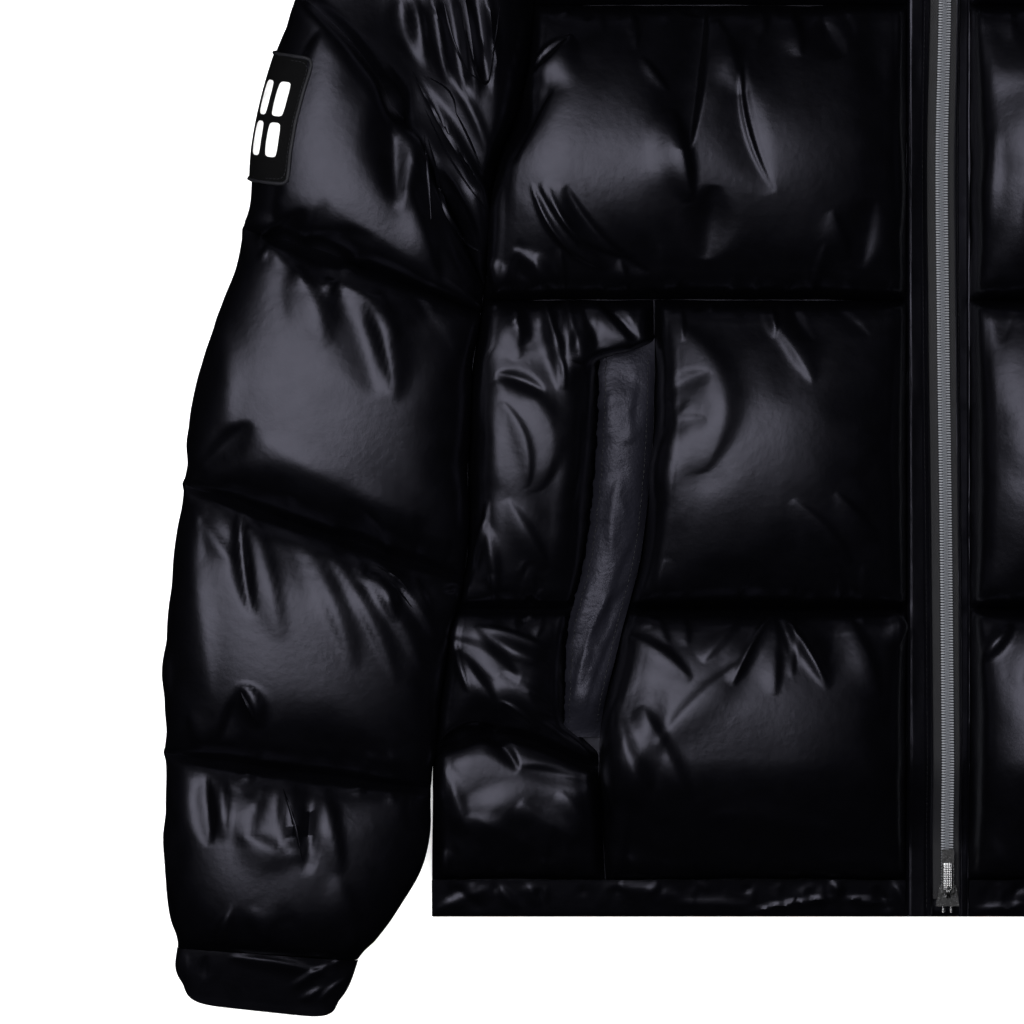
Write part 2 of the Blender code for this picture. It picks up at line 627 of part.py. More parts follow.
def make_zip_cloth(side, jacket, tape_finish, shell_finish):
    """Zip tape, and the placket that lies on its outer half."""
    v = zip_rows()[:, None]
    middle = smooth(ZIP_MIDDLE, v) * side
    outer = FRONT_EDGE[side] - SEAM_GAP
    plane = middle_plane(v)
    x = between(middle + CHAIN_HALF + SEAM_GAP, outer, np.linspace(0, 1, 3)[None, :])
    wall_panel(side_name("zip_tape", side), points(side * x, v, plane + TAPE_Z[0]),
               points(side * x, v, plane + TAPE_Z[1]), jacket, tape_finish)
    x = between(middle + PLACKET_EDGE[side], outer, np.linspace(0, 1, 3)[None, :])
    high = plane + PLACKET_Z[1] + 0.6 * MM * np.array([0, 1, 0])[None, :]
    wall_panel(side_name("placket", side), points(side * x, v, plane + PLACKET_Z[0]),
               points(side * x, v, high), jacket, shell_finish)


def zip_rows():
    """Heights of the rows along the zip, those of the body up to the yoke seam."""
    hem, low, middle, chest = body_rows()
    top = np.linspace(YOKE_SEAM, FRONT_NECK + COLLAR_HEIGHT, 6)
    rows = np.concatenate([hem, low[1:], middle[1::2], middle[-1:], chest[1:-1:2], top])
    return np.unique(np.round(rows, 6))


def make_chain(jacket, finish):
    """Closed zip chain between the two sliders' posts."""
    low = BOTTOM_SLIDER_V + SLIDER_POST_LENGTH + SEAM_GAP
    high = TOP_SLIDER_V - SLIDER_POST_LENGTH - SEAM_GAP
    v = zip_rows()
    v = np.concatenate([[low], v[(v > low + MM) & (v < high - MM)], [high]])[:, None]
    middle = smooth(ZIP_MIDDLE, v)
    x = middle + CHAIN_HALF * np.array([-1, -0.6, 0.6, 1])[None, :]
    plane = middle_plane(v)
    low_z = plane + CHAIN_Z[0] + 0.6 * MM * np.array([1, 0, 0, 1])[None, :]
    high_z = plane + CHAIN_Z[1] - 0.8 * MM * np.array([1, 0, 0, 1])[None, :]
    wall_panel("zip_chain", points(x, v, low_z), points(x, v, high_z), jacket, finish)


def block(size, centre, wide_end=1.0):
    """A box from a cube primitive; its -Y end may be wider than its +Y end."""
    work = bmesh.new()
    bmesh.ops.create_cube(work, size=1)
    for vert in work.verts:
        widen = wide_end if vert.co.y < 0 else 1.0
        vert.co = Vector((vert.co.x * size[0] * widen, vert.co.y * size[1], vert.co.z * size[2])) + Vector(centre)
    mesh = bpy.data.meshes.new("block")
    work.to_mesh(mesh)
    work.free()
    return mesh


def rod(radius, length, centre, axis="X"):
    """A round bar along X or Y."""
    work = bmesh.new()
    turn = Matrix.Rotation(math.pi / 2, 4, "Y" if axis == "X" else "X")
    bmesh.ops.create_cone(work, cap_ends=True, segments=10, radius1=radius, radius2=radius, depth=length,
                          matrix=Matrix.Translation(centre) @ turn)
    mesh = bpy.data.meshes.new("rod")
    work.to_mesh(mesh)
    work.free()
    return mesh


def bail_mesh():
    """Half ring of square wire that stands on the slider around the pull's bar."""
    work = bmesh.new()
    turns = np.linspace(0, math.pi, 9)
    inner, outer = BAIL_RADIUS - BAIL_WIRE, BAIL_RADIUS + BAIL_WIRE
    profile = [(math.cos(a) * outer, math.sin(a) * outer * 0.8) for a in turns]
    profile += [(math.cos(a) * inner, math.sin(a) * inner * 0.8) for a in turns[::-1]]
    foot = -(PULL_AXIS_RISE - SLIDER_TOP_PLATE[1]) - 0.4 * MM
    profile = [(outer, foot)] + profile[:9] + [(-outer, foot), (-inner, foot)] + profile[9:] + [(inner, foot)]
    face = work.faces.new([work.verts.new((-1.1 * MM, y, z)) for y, z in profile])
    grown = bmesh.ops.extrude_face_region(work, geom=[face])["geom"]
    bmesh.ops.translate(work, vec=(2.2 * MM, 0, 0), verts=[g for g in grown if isinstance(g, bmesh.types.BMVert)])
    bmesh.ops.recalc_face_normals(work, faces=work.faces)
    mesh = bpy.data.meshes.new("bail")
    work.to_mesh(mesh)
    work.free()
    return mesh


def fuse(name, meshes, cutters, place, jacket, finish):
    """Union of several meshes less the cutters, placed by its origin's matrix."""
    base = bpy.data.objects.new(name, meshes[0])
    jacket.objects.link(base)
    tools = []
    for operation, group in (("UNION", meshes[1:]), ("DIFFERENCE", cutters)):
        for mesh in group:
            tool = bpy.data.objects.new(name + "_tool", mesh)
            jacket.objects.link(tool)
            change = base.modifiers.new(operation.lower(), "BOOLEAN")
            change.operation = operation
            change.solver = "EXACT"
            change.object = tool
            tools.append(tool)
    graph = bpy.context.evaluated_depsgraph_get()
    whole = bpy.data.meshes.new_from_object(base.evaluated_get(graph))
    base.modifiers.clear()
    base.data = whole
    for tool in tools:
        bpy.data.objects.remove(tool)
    whole.name = name
    whole.materials.clear()
    whole.materials.append(finish)
    base.matrix_world = place
    return base


def make_slider(name, v, up, jacket, finish):
    """Slider: two plates joined by a post at the wide end, with a bail on top."""
    middle = float(smooth(ZIP_MIDDLE, v))
    plane = float(middle_plane(v))
    place = Matrix.Translation((middle, v - MIDDLE, plane))
    if not up:
        place = place @ Matrix.Rotation(math.pi, 4, "Z")
    centre_y = SLIDER_LENGTH / 2
    widen = SLIDER_WIDE / SLIDER_NARROW
    parts = []
    for low, high in (SLIDER_TOP_PLATE, SLIDER_LOW_PLATE):
        size = (2 * SLIDER_NARROW, SLIDER_LENGTH, high - low)
        parts.append(block(size, (0, centre_y, (low + high) / 2), widen))
    post_z = (SLIDER_LOW_PLATE[0] + SLIDER_TOP_PLATE[1]) / 2
    post_height = SLIDER_TOP_PLATE[1] - SLIDER_LOW_PLATE[0] - MM
    parts.append(block((2 * SLIDER_POST_HALF, SLIDER_POST_LENGTH - 0.4 * MM, post_height),
                       (0, SLIDER_POST_LENGTH / 2 + 0.2 * MM, post_z)))
    bail = bail_mesh()
    bail.transform(Matrix.Translation((0, PULL_AXIS_ALONG, PULL_AXIS_RISE)))
    parts.append(bail)
    return fuse(name, parts, [], place, jacket, finish)


def make_pull(name, v, up, jacket, finish):
    """Pull tab with its origin on the bar that turns in the slider's bail."""
    middle = float(smooth(ZIP_MIDDLE, v))
    axis_v = v + PULL_AXIS_ALONG * (1 if up else -1)
    place = Matrix.Translation((middle, axis_v - MIDDLE, float(middle_plane(v)) + PULL_AXIS_RISE))
    if not up:
        place = place @ Matrix.Rotation(math.pi, 4, "Z")
    length = PULL_REACH + PULL_BAR_RADIUS
    plate = block((2 * PULL_HALF, length, PULL_THICK), (0, length / 2 - PULL_BAR_RADIUS, 0))
    slot = block((2 * PULL_SLOT_HALF, PULL_SLOT_END, 4 * PULL_THICK),
                 (0, PULL_BAR_RADIUS * 0.9 + PULL_SLOT_END / 2, 0))
    notch = block((2 * PULL_SLOT_HALF, 2 * PULL_BAR_RADIUS, 4 * PULL_THICK), (0, -PULL_BAR_RADIUS, 0))
    bar = rod(PULL_BAR_RADIUS * 0.96, 2 * PULL_SLOT_HALF + MM, (0, 0, 0))
    cut = fuse(name + "_plate", [plate], [slot, notch, block(
        (2 * PULL_SLOT_HALF, 2 * PULL_BAR_RADIUS, 4 * PULL_THICK), (0, 0, 0))], Matrix.Identity(4), jacket, finish)
    mesh = cut.data
    bpy.data.objects.remove(cut)
    return fuse(name, [mesh, bar], [], place, jacket, finish)


def make_pins(jacket, finish):
    """The two pin ends under the bottom slider."""
    v = BOTTOM_SLIDER_V - SEAM_GAP - PIN_LENGTH / 2
    middle = float(smooth(ZIP_MIDDLE, v))
    plane = float(middle_plane(v))
    for side in (-1, 1):
        mesh = rod(PIN_RADIUS, PIN_LENGTH, (0, 0, 0), axis="Y")
        mesh.materials.append(finish)
        pin = bpy.data.objects.new(side_name("zip_pin", side), mesh)
        pin.location = (middle + side * PIN_OFFSET, v - MIDDLE, plane + (CHAIN_Z[0] + CHAIN_Z[1]) / 2)
        jacket.objects.link(pin)


def main():
    jacket = start_scene()
    shell = material("shell nylon", SHELL_COLOUR, 0.32)
    tape = material("zip tape", TAPE_COLOUR, 0.7)
    chain = material("zip chain", CHAIN_COLOUR, 0.35, 0.3)
    metal = material("zip metal", METAL_COLOUR, 0.3, 1.0)
    patch = material("patch", PATCH_COLOUR, 0.8)
    make_back(jacket, shell)
    make_hems(jacket, shell)
    for side in (-1, 1):
        make_chest(side, jacket, shell)
        make_front(side, jacket, shell)
        make_side(side, jacket, shell)
        make_yoke(side, jacket, shell)
        make_sleeve(side, jacket, shell)
        make_cuff(side, jacket, shell)
        make_welt(side, jacket, shell)
        make_zip_cloth(side, jacket, tape, shell)
    make_collar(jacket, shell)
    make_patch(jacket, patch)
    make_chain(jacket, chain)
    make_pins(jacket, metal)
    make_slider("slider_bottom", BOTTOM_SLIDER_V, True, jacket, metal)
    make_pull("pull_bottom", BOTTOM_SLIDER_V, True, jacket, metal)
    make_slider("slider_top", TOP_SLIDER_V, False, jacket, metal)
    make_pull("pull_top", TOP_SLIDER_V, False, jacket, metal)


main()
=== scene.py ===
import math

import bmesh
import bpy
import numpy as np
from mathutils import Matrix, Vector
from mathutils.bvhtree import BVHTree


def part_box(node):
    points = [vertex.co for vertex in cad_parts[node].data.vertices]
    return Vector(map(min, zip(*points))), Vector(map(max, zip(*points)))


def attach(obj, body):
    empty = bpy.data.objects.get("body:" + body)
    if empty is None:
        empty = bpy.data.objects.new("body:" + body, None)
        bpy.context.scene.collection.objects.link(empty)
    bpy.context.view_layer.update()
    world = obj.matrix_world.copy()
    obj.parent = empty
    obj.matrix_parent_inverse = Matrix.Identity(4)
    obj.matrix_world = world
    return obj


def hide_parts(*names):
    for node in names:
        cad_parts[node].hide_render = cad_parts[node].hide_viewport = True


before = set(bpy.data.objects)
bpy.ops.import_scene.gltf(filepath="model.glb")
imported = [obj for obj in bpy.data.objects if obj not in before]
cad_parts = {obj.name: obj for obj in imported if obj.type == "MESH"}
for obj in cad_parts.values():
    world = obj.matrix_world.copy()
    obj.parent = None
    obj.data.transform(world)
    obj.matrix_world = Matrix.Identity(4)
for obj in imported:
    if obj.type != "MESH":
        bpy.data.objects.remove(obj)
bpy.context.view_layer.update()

mm = 0.001

# Outlines of the jacket: x from the centre front, v above the hem's edge, side -1 is the wearer's right
bodyFacts = {
    "hemSeam": 22 * mm, "lowSeam": 181.4 * mm, "midSeam": 361.5 * mm, "yokeSeam": 534 * mm,
    "shoulder": (262 * mm, 640 * mm), "neck": (95 * mm, 700 * mm), "frontNeck": 612 * mm,
    "backNeckDrop": 16 * mm, "collarHeight": 85 * mm, "collarTopHalf": 92 * mm, "collarBackDip": 8 * mm,
    "cuffLow": -53 * mm, "hemPlane": 8 * mm, "bodyPlane": 20 * mm, "planeRises": (40 * mm, 95 * mm),
    "frontEdge": {-1: 22 * mm, 1: 15 * mm}, "placketEdge": {-1: 9 * mm, 1: 7.3 * mm}, "gap": 0.3 * mm}
bodyFacts["middle"] = (bodyFacts["neck"][1] + bodyFacts["collarHeight"] + bodyFacts["cuffLow"]) / 2
bodyEdge = (  # v, x (mm)
    (0, 300), (60, 299.6), (104, 298.5), (170, 289), (205, 280.5), (240, 279), (303, 277.5),
    (361.5, 270), (387, 266.2), (440, 262), (475, 250), (534, 241), (590, 246), (640, 262))
pocketEdge = (  # v, x (mm)
    (22, 198), (60, 200), (104, 201.8), (163, 190), (209, 178.4), (256, 172.6), (320, 169.7), (361.5, 169.7))
zipMiddle = (  # v, x (mm)
    (0, 2.6), (60, 2.3), (221, 0.9), (350, -0.8), (449, -1.5), (537, 0.3), (620, 0), (697, 0))
sleeveRows = (  # outer x, outer v, inner x, inner v (mm), seam
    (262.8, 640, 267.4, 386.0, 1), (332, 610, 268.0, 377, 0), (379, 541, 269.2, 368, 1),
    (406, 468, 270.6, 362, 0), (411, 403, 271.8, 354, 1), (432, 338, 277.4, 322, 0),
    (445, 290, 280.2, 262, 0), (446, 254, 282.0, 199, 1), (455, 195, 291.6, 165, 0),
    (458.6, 140, 297.8, 118, 0), (457, 97, 300.4, 76, 1), (458.6, 50, 304, 36, 0),
    (456, 8, 325, -2, 0), (449, -17.5, 343.5, -25, 1))
cuffRows = (  # outer x, outer v, inner x, inner v (mm)
    (449.6, -18.2, 343.4, -25.8), (451, -30, 347.5, -39), (449.5, -42.5, 352, -53))

clothFacts = {"cell": 4 * mm, "frames": 12, "pressure": 9, "grow": 0.05, "mass": 0.12,
              "stretch": 15, "bend": 0.5, "soften": 24, "wide": 0.3, "fold": 0.5, "quality": 5,
              "farthest": 22 * mm, "foldPasses": 3, "edgeRise": 8 * mm, "edgeReach": 9 * mm}
panelFacts = {"seam": 5 * mm, "chest": 46 * mm, "front": 46 * mm, "side": 30 * mm, "yoke": 33 * mm,
              "collar": 15 * mm, "edge": 12 * mm, "bow": 75 * mm, "narrowEdge": 20 * mm, "lowSeam": 97 * mm}
sleeveFacts = {"armhole": 29 * mm, "valley": 36 * mm, "cuff": 24 * mm, "crest": 62 * mm,
               "edge": 27 * mm, "endEdge": 16 * mm}
sharpFold = math.radians(58)


def cubic(knots, values, at):
    at = np.clip(np.asarray(at, dtype=float), knots[0], knots[-1])
    slope = np.gradient(values, knots)
    i = np.clip(np.searchsorted(knots, at) - 1, 0, len(knots) - 2)
    step = knots[i + 1] - knots[i]
    w = (at - knots[i]) / step
    rise = (3 * w**2 - 2 * w**3) * (values[i + 1] - values[i])
    return values[i] + rise + step * ((w - 2 * w**2 + w**3) * slope[i] + (w**3 - w**2) * slope[i + 1])


def smooth(table, at):
    rows = np.array(table, dtype=float) * mm
    return cubic(rows[:, 0], rows[:, 1], at)


def ease(w):
    w = np.clip(w, 0, 1)
    return w * w * (3 - 2 * w)


def arc(distance, reach):
    w = np.clip(distance / reach, 0, 1)
    return np.sqrt(1 - (1 - w) ** 2)


def corner(a, b):
    # Join two edge arcs so that a sewn corner still rises fast: a b / (a + b - a b)
    return a * b / np.maximum(a + b - a * b, 1e-9)


def mix(low, high, w):
    return low + (high - low) * w


def plane(v):
    low, high = bodyFacts["planeRises"]
    return mix(bodyFacts["hemPlane"], bodyFacts["bodyPlane"], ease((np.asarray(v) - low) / (high - low)))


def bump(v, low, high):
    w = np.clip((v - low) / (high - low), 0, 1)
    return np.maximum(1 - (2 * w - 1) ** 2, 0) ** 0.66


def baffle(v, low, high, peak=0.44, above=0.5):
    # Share of the crest between two seams: a plump edge 12 mm wide, less above the peak, and a bow
    w = np.clip((v - low) / (high - low), 0, 1)
    bow = 1 - np.where(w < peak, (peak - w) / peak, (w - peak) / (1 - peak)) ** 2
    plump = mix(0.5, above, ease((w - peak) / (1 - peak) * 3))
    return plump * arc(np.minimum(v - low, high - v), panelFacts["edge"]) + (1 - plump) * bow


def stack(x, v, z):
    x, v, z = np.broadcast_arrays(x, v, z)
    return np.stack([x, v - bodyFacts["middle"], z], axis=-1)


def sideName(name, side):
    return name + ("_right" if side < 0 else "_left")


def span(low, high):
    count = max(2, int(round((high - low) / clothFacts["cell"])) + 1)
    return np.linspace(low, high, count)


def wander(at, pitch, key):
    # Smooth uneven wave of about unit height along a line, different for each key
    total = np.zeros(np.shape(at))
    tones = np.random.default_rng(key)
    for octave in (1.0, 1.7, 2.9):
        total = total + np.sin(2 * math.pi * at * octave / pitch + tones.uniform(0, 6.3)) / octave
    return total * 0.7


def frontneck(x):
    f = bodyFacts
    return f["frontNeck"] + (f["neck"][1] - f["frontNeck"]) * (x / f["neck"][0]) ** 2


def panelOf(name, side, x, v, z, pinned, band=None):
    # A sheet of cloth for the simulation, its columns running towards +X
    grid = stack(side * x, v, z)
    pinned = np.broadcast_to(pinned, grid.shape[:2]).copy()
    pinned[0] = pinned[-1] = True
    pinned[:, 0] = pinned[:, -1] = True
    if side < 0:
        grid, pinned = grid[:, ::-1], pinned[:, ::-1]
    plain = (0, 0) if band is None else (0, band) if side < 0 else (band, 0)
    return {"name": name, "grid": grid.copy(), "pinned": pinned.copy(), "round": False, "plain": plain}


def seamRow(v, seam):
    near = np.abs(v - seam)
    return near <= near.min(axis=0, keepdims=True) + 1e-6


def panelEnds(fromZip, fromOuter, plump=0.6, reach=45):
    # Share of the crest between the zip and the outer edge: a plump edge and a longer bow at each
    near, far = arc(fromZip, panelFacts["edge"]), arc(fromOuter, panelFacts["edge"])
    zipEnd = 0.45 * near + 0.55 * arc(fromZip, panelFacts["bow"])
    return zipEnd * (plump * far + (1 - plump) * arc(fromOuter, reach * mm))


def chestPanel(side):
    f = bodyFacts
    v = span(f["midSeam"], f["yokeSeam"])[:, None]
    inner = f["frontEdge"][side]
    outer = smooth(bodyEdge, v)
    x = mix(inner, outer, np.linspace(0, 1, 58)[None, :])
    loft = corner(baffle(v, f["midSeam"], f["yokeSeam"], 0.42, 0.22), panelEnds(x - inner, outer - x))
    z = plane(v) + panelFacts["seam"] + panelFacts["chest"] * loft
    return panelOf(sideName("chest", side), side, x, v, z, False)


def frontPanel(side):
    f = bodyFacts
    v = np.concatenate([span(f["hemSeam"], f["lowSeam"])[:-1], span(f["lowSeam"], f["midSeam"])])[:, None]
    inner = f["frontEdge"][side]
    outer = smooth(pocketEdge, v) - f["gap"] / 2
    x = mix(inner, outer, np.linspace(0, 1, 42)[None, :])
    loft = np.where(v < f["lowSeam"], baffle(v, f["hemSeam"], f["lowSeam"], 0.47),
                    baffle(v, f["lowSeam"], f["midSeam"], 0.44, 0.4))
    loft = corner(loft, panelEnds(x - inner, outer - x, 0.74, 80))
    z = plane(v) + panelFacts["seam"] + panelFacts["front"] * loft
    return panelOf(sideName("front", side), side, x, v, z, seamRow(v, f["lowSeam"]) & (x > 0))


def weltWidth(v):
    return 32.5 * mm * mix(0.66, 1, ease((v - 106 * mm) / (75 * mm)))


def plainBand(v):
    # Width of the side panel's flat strip under the welt: full between its ends, and closed beyond them
    open_ = ease((v - 103 * mm) / (13 * mm)) * ease((338 * mm - v) / (14 * mm))
    return mix(0.4 * mm, weltWidth(v) + 0.5 * mm, open_)


def sidePanel(side):
    f = bodyFacts
    low, edge = panelFacts["lowSeam"], panelFacts["narrowEdge"]
    v = np.concatenate([span(f["hemSeam"], low)[:-1], span(low, f["lowSeam"])[:-1],
                        span(f["lowSeam"], f["midSeam"])])[:, None]
    start = smooth(pocketEdge, v) + f["gap"] / 2
    bend = smooth(pocketEdge, v) + plainBand(v)
    outer = smooth(bodyEdge, v)
    x = np.concatenate([mix(start, bend, np.linspace(0, 1, 9)[None, :-1]),
                        mix(bend, outer, np.linspace(0, 1, 20)[None, :])], axis=1)
    seams = (f["hemSeam"], low, f["lowSeam"], f["midSeam"])
    lofts = [baffle(v, a, b) for a, b in zip(seams[:-1], seams[1:])]
    loft = sum(c * part for c, part in zip((0.8, 0.75, 1.0), lofts))
    loft = corner(loft, arc(outer - x, edge) * arc(np.maximum(x - bend, 0), edge))
    z = plane(v) + panelFacts["seam"] + panelFacts["side"] * loft
    pinned = seamRow(v, f["lowSeam"]) | seamRow(v, low) | (x < bend + 0.1 * mm)
    wave = 11 * mm * np.sin((x - 225 * mm) / (24 * mm)) * np.exp(-((v - low) / (24 * mm)) ** 2)
    return panelOf(sideName("side", side), side, x, v + wave, z, pinned, 16)


def yokePanel(side):
    f = bodyFacts
    inner, neckX, shoulderX = f["frontEdge"][side], f["neck"][0], f["shoulder"][0]
    neck, reach = span(inner, neckX), span(neckX, shoulderX)[1:]
    drop = (reach - neckX) / (shoulderX - neckX)
    top = np.concatenate([frontneck(neck) - f["gap"] / 2, mix(f["neck"][1], f["shoulder"][1], drop)])
    w = np.linspace(0, 1, 34)[:, None]
    v = mix(f["yokeSeam"], top[None, :], w)
    share = (np.concatenate([neck, reach]) - inner) / (shoulderX - inner)
    outer = smooth(bodyEdge, v[:, -1:])
    x = mix(inner, outer, share[None, :])
    loft = corner(baffle(v, f["yokeSeam"], top[None, :]), panelEnds(x - inner, outer - x))
    z = f["bodyPlane"] + panelFacts["seam"] + panelFacts["yoke"] * loft
    return panelOf(sideName("yoke", side), side, x, v, z, False)


def collarPanel(side):
    f = bodyFacts
    inner = f["frontEdge"][side]
    share = np.linspace(0, 1, 21)[None, :]
    w = np.linspace(0, 1, 22)[:, None]
    foot = mix(inner, f["neck"][0], share)
    x = mix(foot, mix(inner, f["collarTopHalf"], share), w)
    v = frontneck(foot) + f["gap"] / 2 + f["collarHeight"] * w
    edge = panelFacts["narrowEdge"]
    fromNeck = mix(f["neck"][0], f["collarTopHalf"], w) - x
    loft = corner(bump(w, 0, 1), arc(x - inner, edge) * arc(fromNeck, edge))
    z = f["bodyPlane"] + panelFacts["seam"] + panelFacts["collar"] * loft
    return panelOf(sideName("collar", side), side, x, v, z, False)


def sleeveEdges(t, rows):
    table = np.array([row[:4] for row in rows], dtype=float) * mm
    knots = np.arange(len(rows), dtype=float)
    return [cubic(knots, table[:, i], t) for i in range(4)]


def sleeveLoft(t):
    # Share of the crest along the sleeve: steep beside each seam, then a bow whose top hangs low
    seams = [i for i, row in enumerate(sleeveRows) if row[4]]
    peaks, plumps = (0.22, 0.74, 0.74, 0.56, 0.5), (0.2, 0.62, 0.55, 0.5, 0.5)
    loft = np.zeros(np.shape(t))
    for low, high, peak, plump in zip(seams[:-1], seams[1:], peaks, plumps):
        w = (t - low) / (high - low)
        bow = 1 - np.where(w < peak, (peak - w) / peak, (w - peak) / (1 - peak)) ** 2
        steep = arc(np.minimum(w, 1 - w), 0.12)
        loft = np.where((t >= low) & (t <= high), plump * steep + (1 - plump) * bow, loft)
    return loft


def armholeBow(t, share):
    outerX, outerV, innerX, innerV = sleeveEdges(np.zeros(np.shape(t)), sleeveRows)
    straight = mix(innerX, outerX, share)
    seamX = smooth(bodyEdge, mix(innerV, outerV, share)) - 0.9 * mm
    return (seamX - straight) * (1 - ease(t / 2)) ** 2 * (share > 0.001)


def sleeveSteps():
    # Steps along the sleeve, whole numbers at its rows, and steps round it, close on top and wide below
    seams = [i for i, row in enumerate(sleeveRows) if row[4]]
    counts = (26, 26, 38, 40, 32)
    along = [np.linspace(a, b, n + 1)[:-1] for a, b, n in zip(seams[:-1], seams[1:], counts)]
    top, under = np.linspace(-0.35, math.pi + 0.35, 60), np.linspace(math.pi + 0.6, 2 * math.pi - 0.6, 9)
    return np.concatenate(along + [[float(seams[-1])]]), np.concatenate([top, under])


def sleevePanel(side):
    # Sleeve rings: a round top over a flat underside, from the armhole to the cuff seam
    t, angle = sleeveSteps()
    t, angle = t[:, None], angle[None, :]
    last, facts = len(sleeveRows) - 1, sleeveFacts
    outerX, outerV, innerX, innerV = sleeveEdges(t, sleeveRows)
    inset = mix(1.0, 0.965, sleeveLoft(t) * ease(t / 2) * (np.cos(angle) < 0))
    inset = inset + 0.03 * sleeveLoft(t) * ease((t - 3) / 2) * ease((11 - t) / 3) * (np.cos(angle) > 0)
    reach = np.sign(np.cos(angle)) * np.abs(np.cos(angle)) ** 0.8 * inset
    share = 0.5 - 0.5 * reach
    x = mix(innerX, outerX, share) + armholeBow(t, share)
    v = mix(innerV, outerV, share)
    v = v + 27 * mm * np.sin(math.pi * np.clip(share, 0, 1)) * np.exp(-((t - 2) / 1.3) ** 2) * ease(t / 1.6)
    square = mix(0.8, 0.5, (np.cos(angle) > 0) * ease((t - 3) / 1.5) * ease((11 - t) / 2))
    rise = np.abs(np.sin(angle)) ** square
    valley = mix(mix(facts["armhole"], facts["valley"], ease(t / 2)), facts["cuff"], ease((t - last + 2) / 2))
    edge = mix(facts["edge"], facts["endEdge"], ease(np.abs(t / last - 0.5) * 8 - 3))
    loft = sleeveLoft(t)
    above = edge + (mix(valley, facts["crest"], loft) - edge) * rise
    below = np.maximum(edge * (1 - 1.5 * np.abs(np.sin(angle)) ** 0.7), 0) + 6 * mm * (1 - loft) * rise
    z = np.where(np.sin(angle) >= 0, above, below)
    pinned = (np.sin(angle) < -0.3) | (loft < 1e-6)
    grid = stack(side * x, v, z)
    if side > 0:
        grid, pinned = grid[:, ::-1], pinned[:, ::-1]
    return {"name": sideName("sleeve", side), "grid": grid.copy(), "pinned": pinned.copy(), "round": True,
            "plain": (0, 0)}


def gridFaces(rows, cols, start=0, isRound=False):
    index = np.arange(rows * cols).reshape(rows, cols) + start
    if isRound:
        index = np.concatenate([index, index[:, :1]], axis=1)
    return np.stack([index[:-1, :-1], index[:-1, 1:], index[1:, 1:], index[1:, :-1]], axis=-1).reshape(-1, 4)


def rimOf(rows, cols):
    # Numbers of a grid's edge points, once round
    index = np.arange(rows * cols).reshape(rows, cols)
    return np.concatenate([index[0, :-1], index[:-1, -1], index[-1, :0:-1], index[:0:-1, 0]])


def meshObject(name, verts, faces):
    mesh = bpy.data.meshes.new(name)
    mesh.from_pydata(verts.reshape(-1, 3).tolist(), [], faces.tolist() if hasattr(faces, "tolist") else faces)
    mesh.polygons.foreach_set("use_smooth", np.ones(len(mesh.polygons), dtype=bool))
    mesh.update()
    made = bpy.data.objects.new(name, mesh)
    bpy.context.scene.collection.objects.link(made)
    return made


def puffUp(panels):
    # Blow the panels up with Blender's cloth: they have spare cloth and are held along every seam
    verts, faces, pins, start = [], [], [], 0
    for panel in panels:
        rows, cols = panel["grid"].shape[:2]
        verts.append(panel["grid"].reshape(-1, 3))
        faces.append(gridFaces(rows, cols, start, panel["round"]))
        pins.append(np.nonzero(panel["pinned"].reshape(-1))[0] + start)
        start += rows * cols
    body = meshObject("puffing", np.concatenate(verts), np.concatenate(faces))
    group = body.vertex_groups.new(name="sewn")
    group.add(np.concatenate(pins).tolist(), 1.0, "REPLACE")
    cloth = body.modifiers.new("puff", "CLOTH")
    facts, s = clothFacts, cloth.settings
    s.vertex_group_mass = "sewn"
    s.quality = facts["quality"]
    s.mass = facts["mass"]
    s.use_pressure = True
    s.uniform_pressure_force = facts["pressure"]
    s.shrink_min = s.shrink_max = -facts["grow"]
    s.tension_stiffness = s.compression_stiffness = facts["stretch"]
    s.bending_stiffness = facts["bend"]
    s.effector_weights.gravity = 0
    cloth.collision_settings.use_collision = False
    scene = bpy.context.scene
    scene.frame_start, scene.frame_end = 1, facts["frames"]
    for number in range(1, facts["frames"] + 1):
        scene.frame_set(number)
    settled = body.evaluated_get(bpy.context.evaluated_depsgraph_get()).to_mesh()
    flat = np.zeros(start * 3, dtype=np.float32)
    settled.vertices.foreach_get("co", flat)
    flat = flat.reshape(-1, 3).astype(float)
    start = 0
    for panel in panels:
        rows, cols = panel["grid"].shape[:2]
        panel["grid"] = flat[start:start + rows * cols].reshape(rows, cols, 3)
        start += rows * cols
    body.modifiers.clear()
    bpy.data.objects.remove(body)
    scene.frame_set(1)


def softened(field, isRound, passes):
    # Average over the neighbours, again and again: the wide part of a movement, without its small folds
    for _ in range(passes):
        down = np.concatenate([field[:1], field, field[-1:]])
        field = (down[:-2] + 2 * field + down[2:]) / 4
        if isRound:
            field = (np.roll(field, 1, axis=1) + 2 * field + np.roll(field, -1, axis=1)) / 4
        else:
            across = np.concatenate([field[:, :1], field, field[:, -1:]], axis=1)
            field = (across[:, :-2] + 2 * field + across[:, 2:]) / 4
    return field


def refine(grid, isRound):
    # Put a smooth row between each two rows, and a smooth column between each two columns
    def between(a):
        ends = np.concatenate([2 * a[:1] - a[1:2], a, 2 * a[-1:] - a[-2:-1]])
        middle = (-ends[:-3] + 9 * ends[1:-2] + 9 * ends[2:-1] - ends[3:]) / 16
        out = np.empty((2 * len(a) - 1,) + a.shape[1:])
        out[0::2], out[1::2] = a, middle
        return out
    grid = between(grid)
    turned = grid.transpose(1, 0, 2)
    if isRound:
        cols = len(turned)
        turned = np.concatenate([turned[-2:], turned, turned[:3]])
        turned = between(turned)[4:4 + 2 * cols]
    else:
        turned = between(turned)
    return turned.transpose(1, 0, 2)


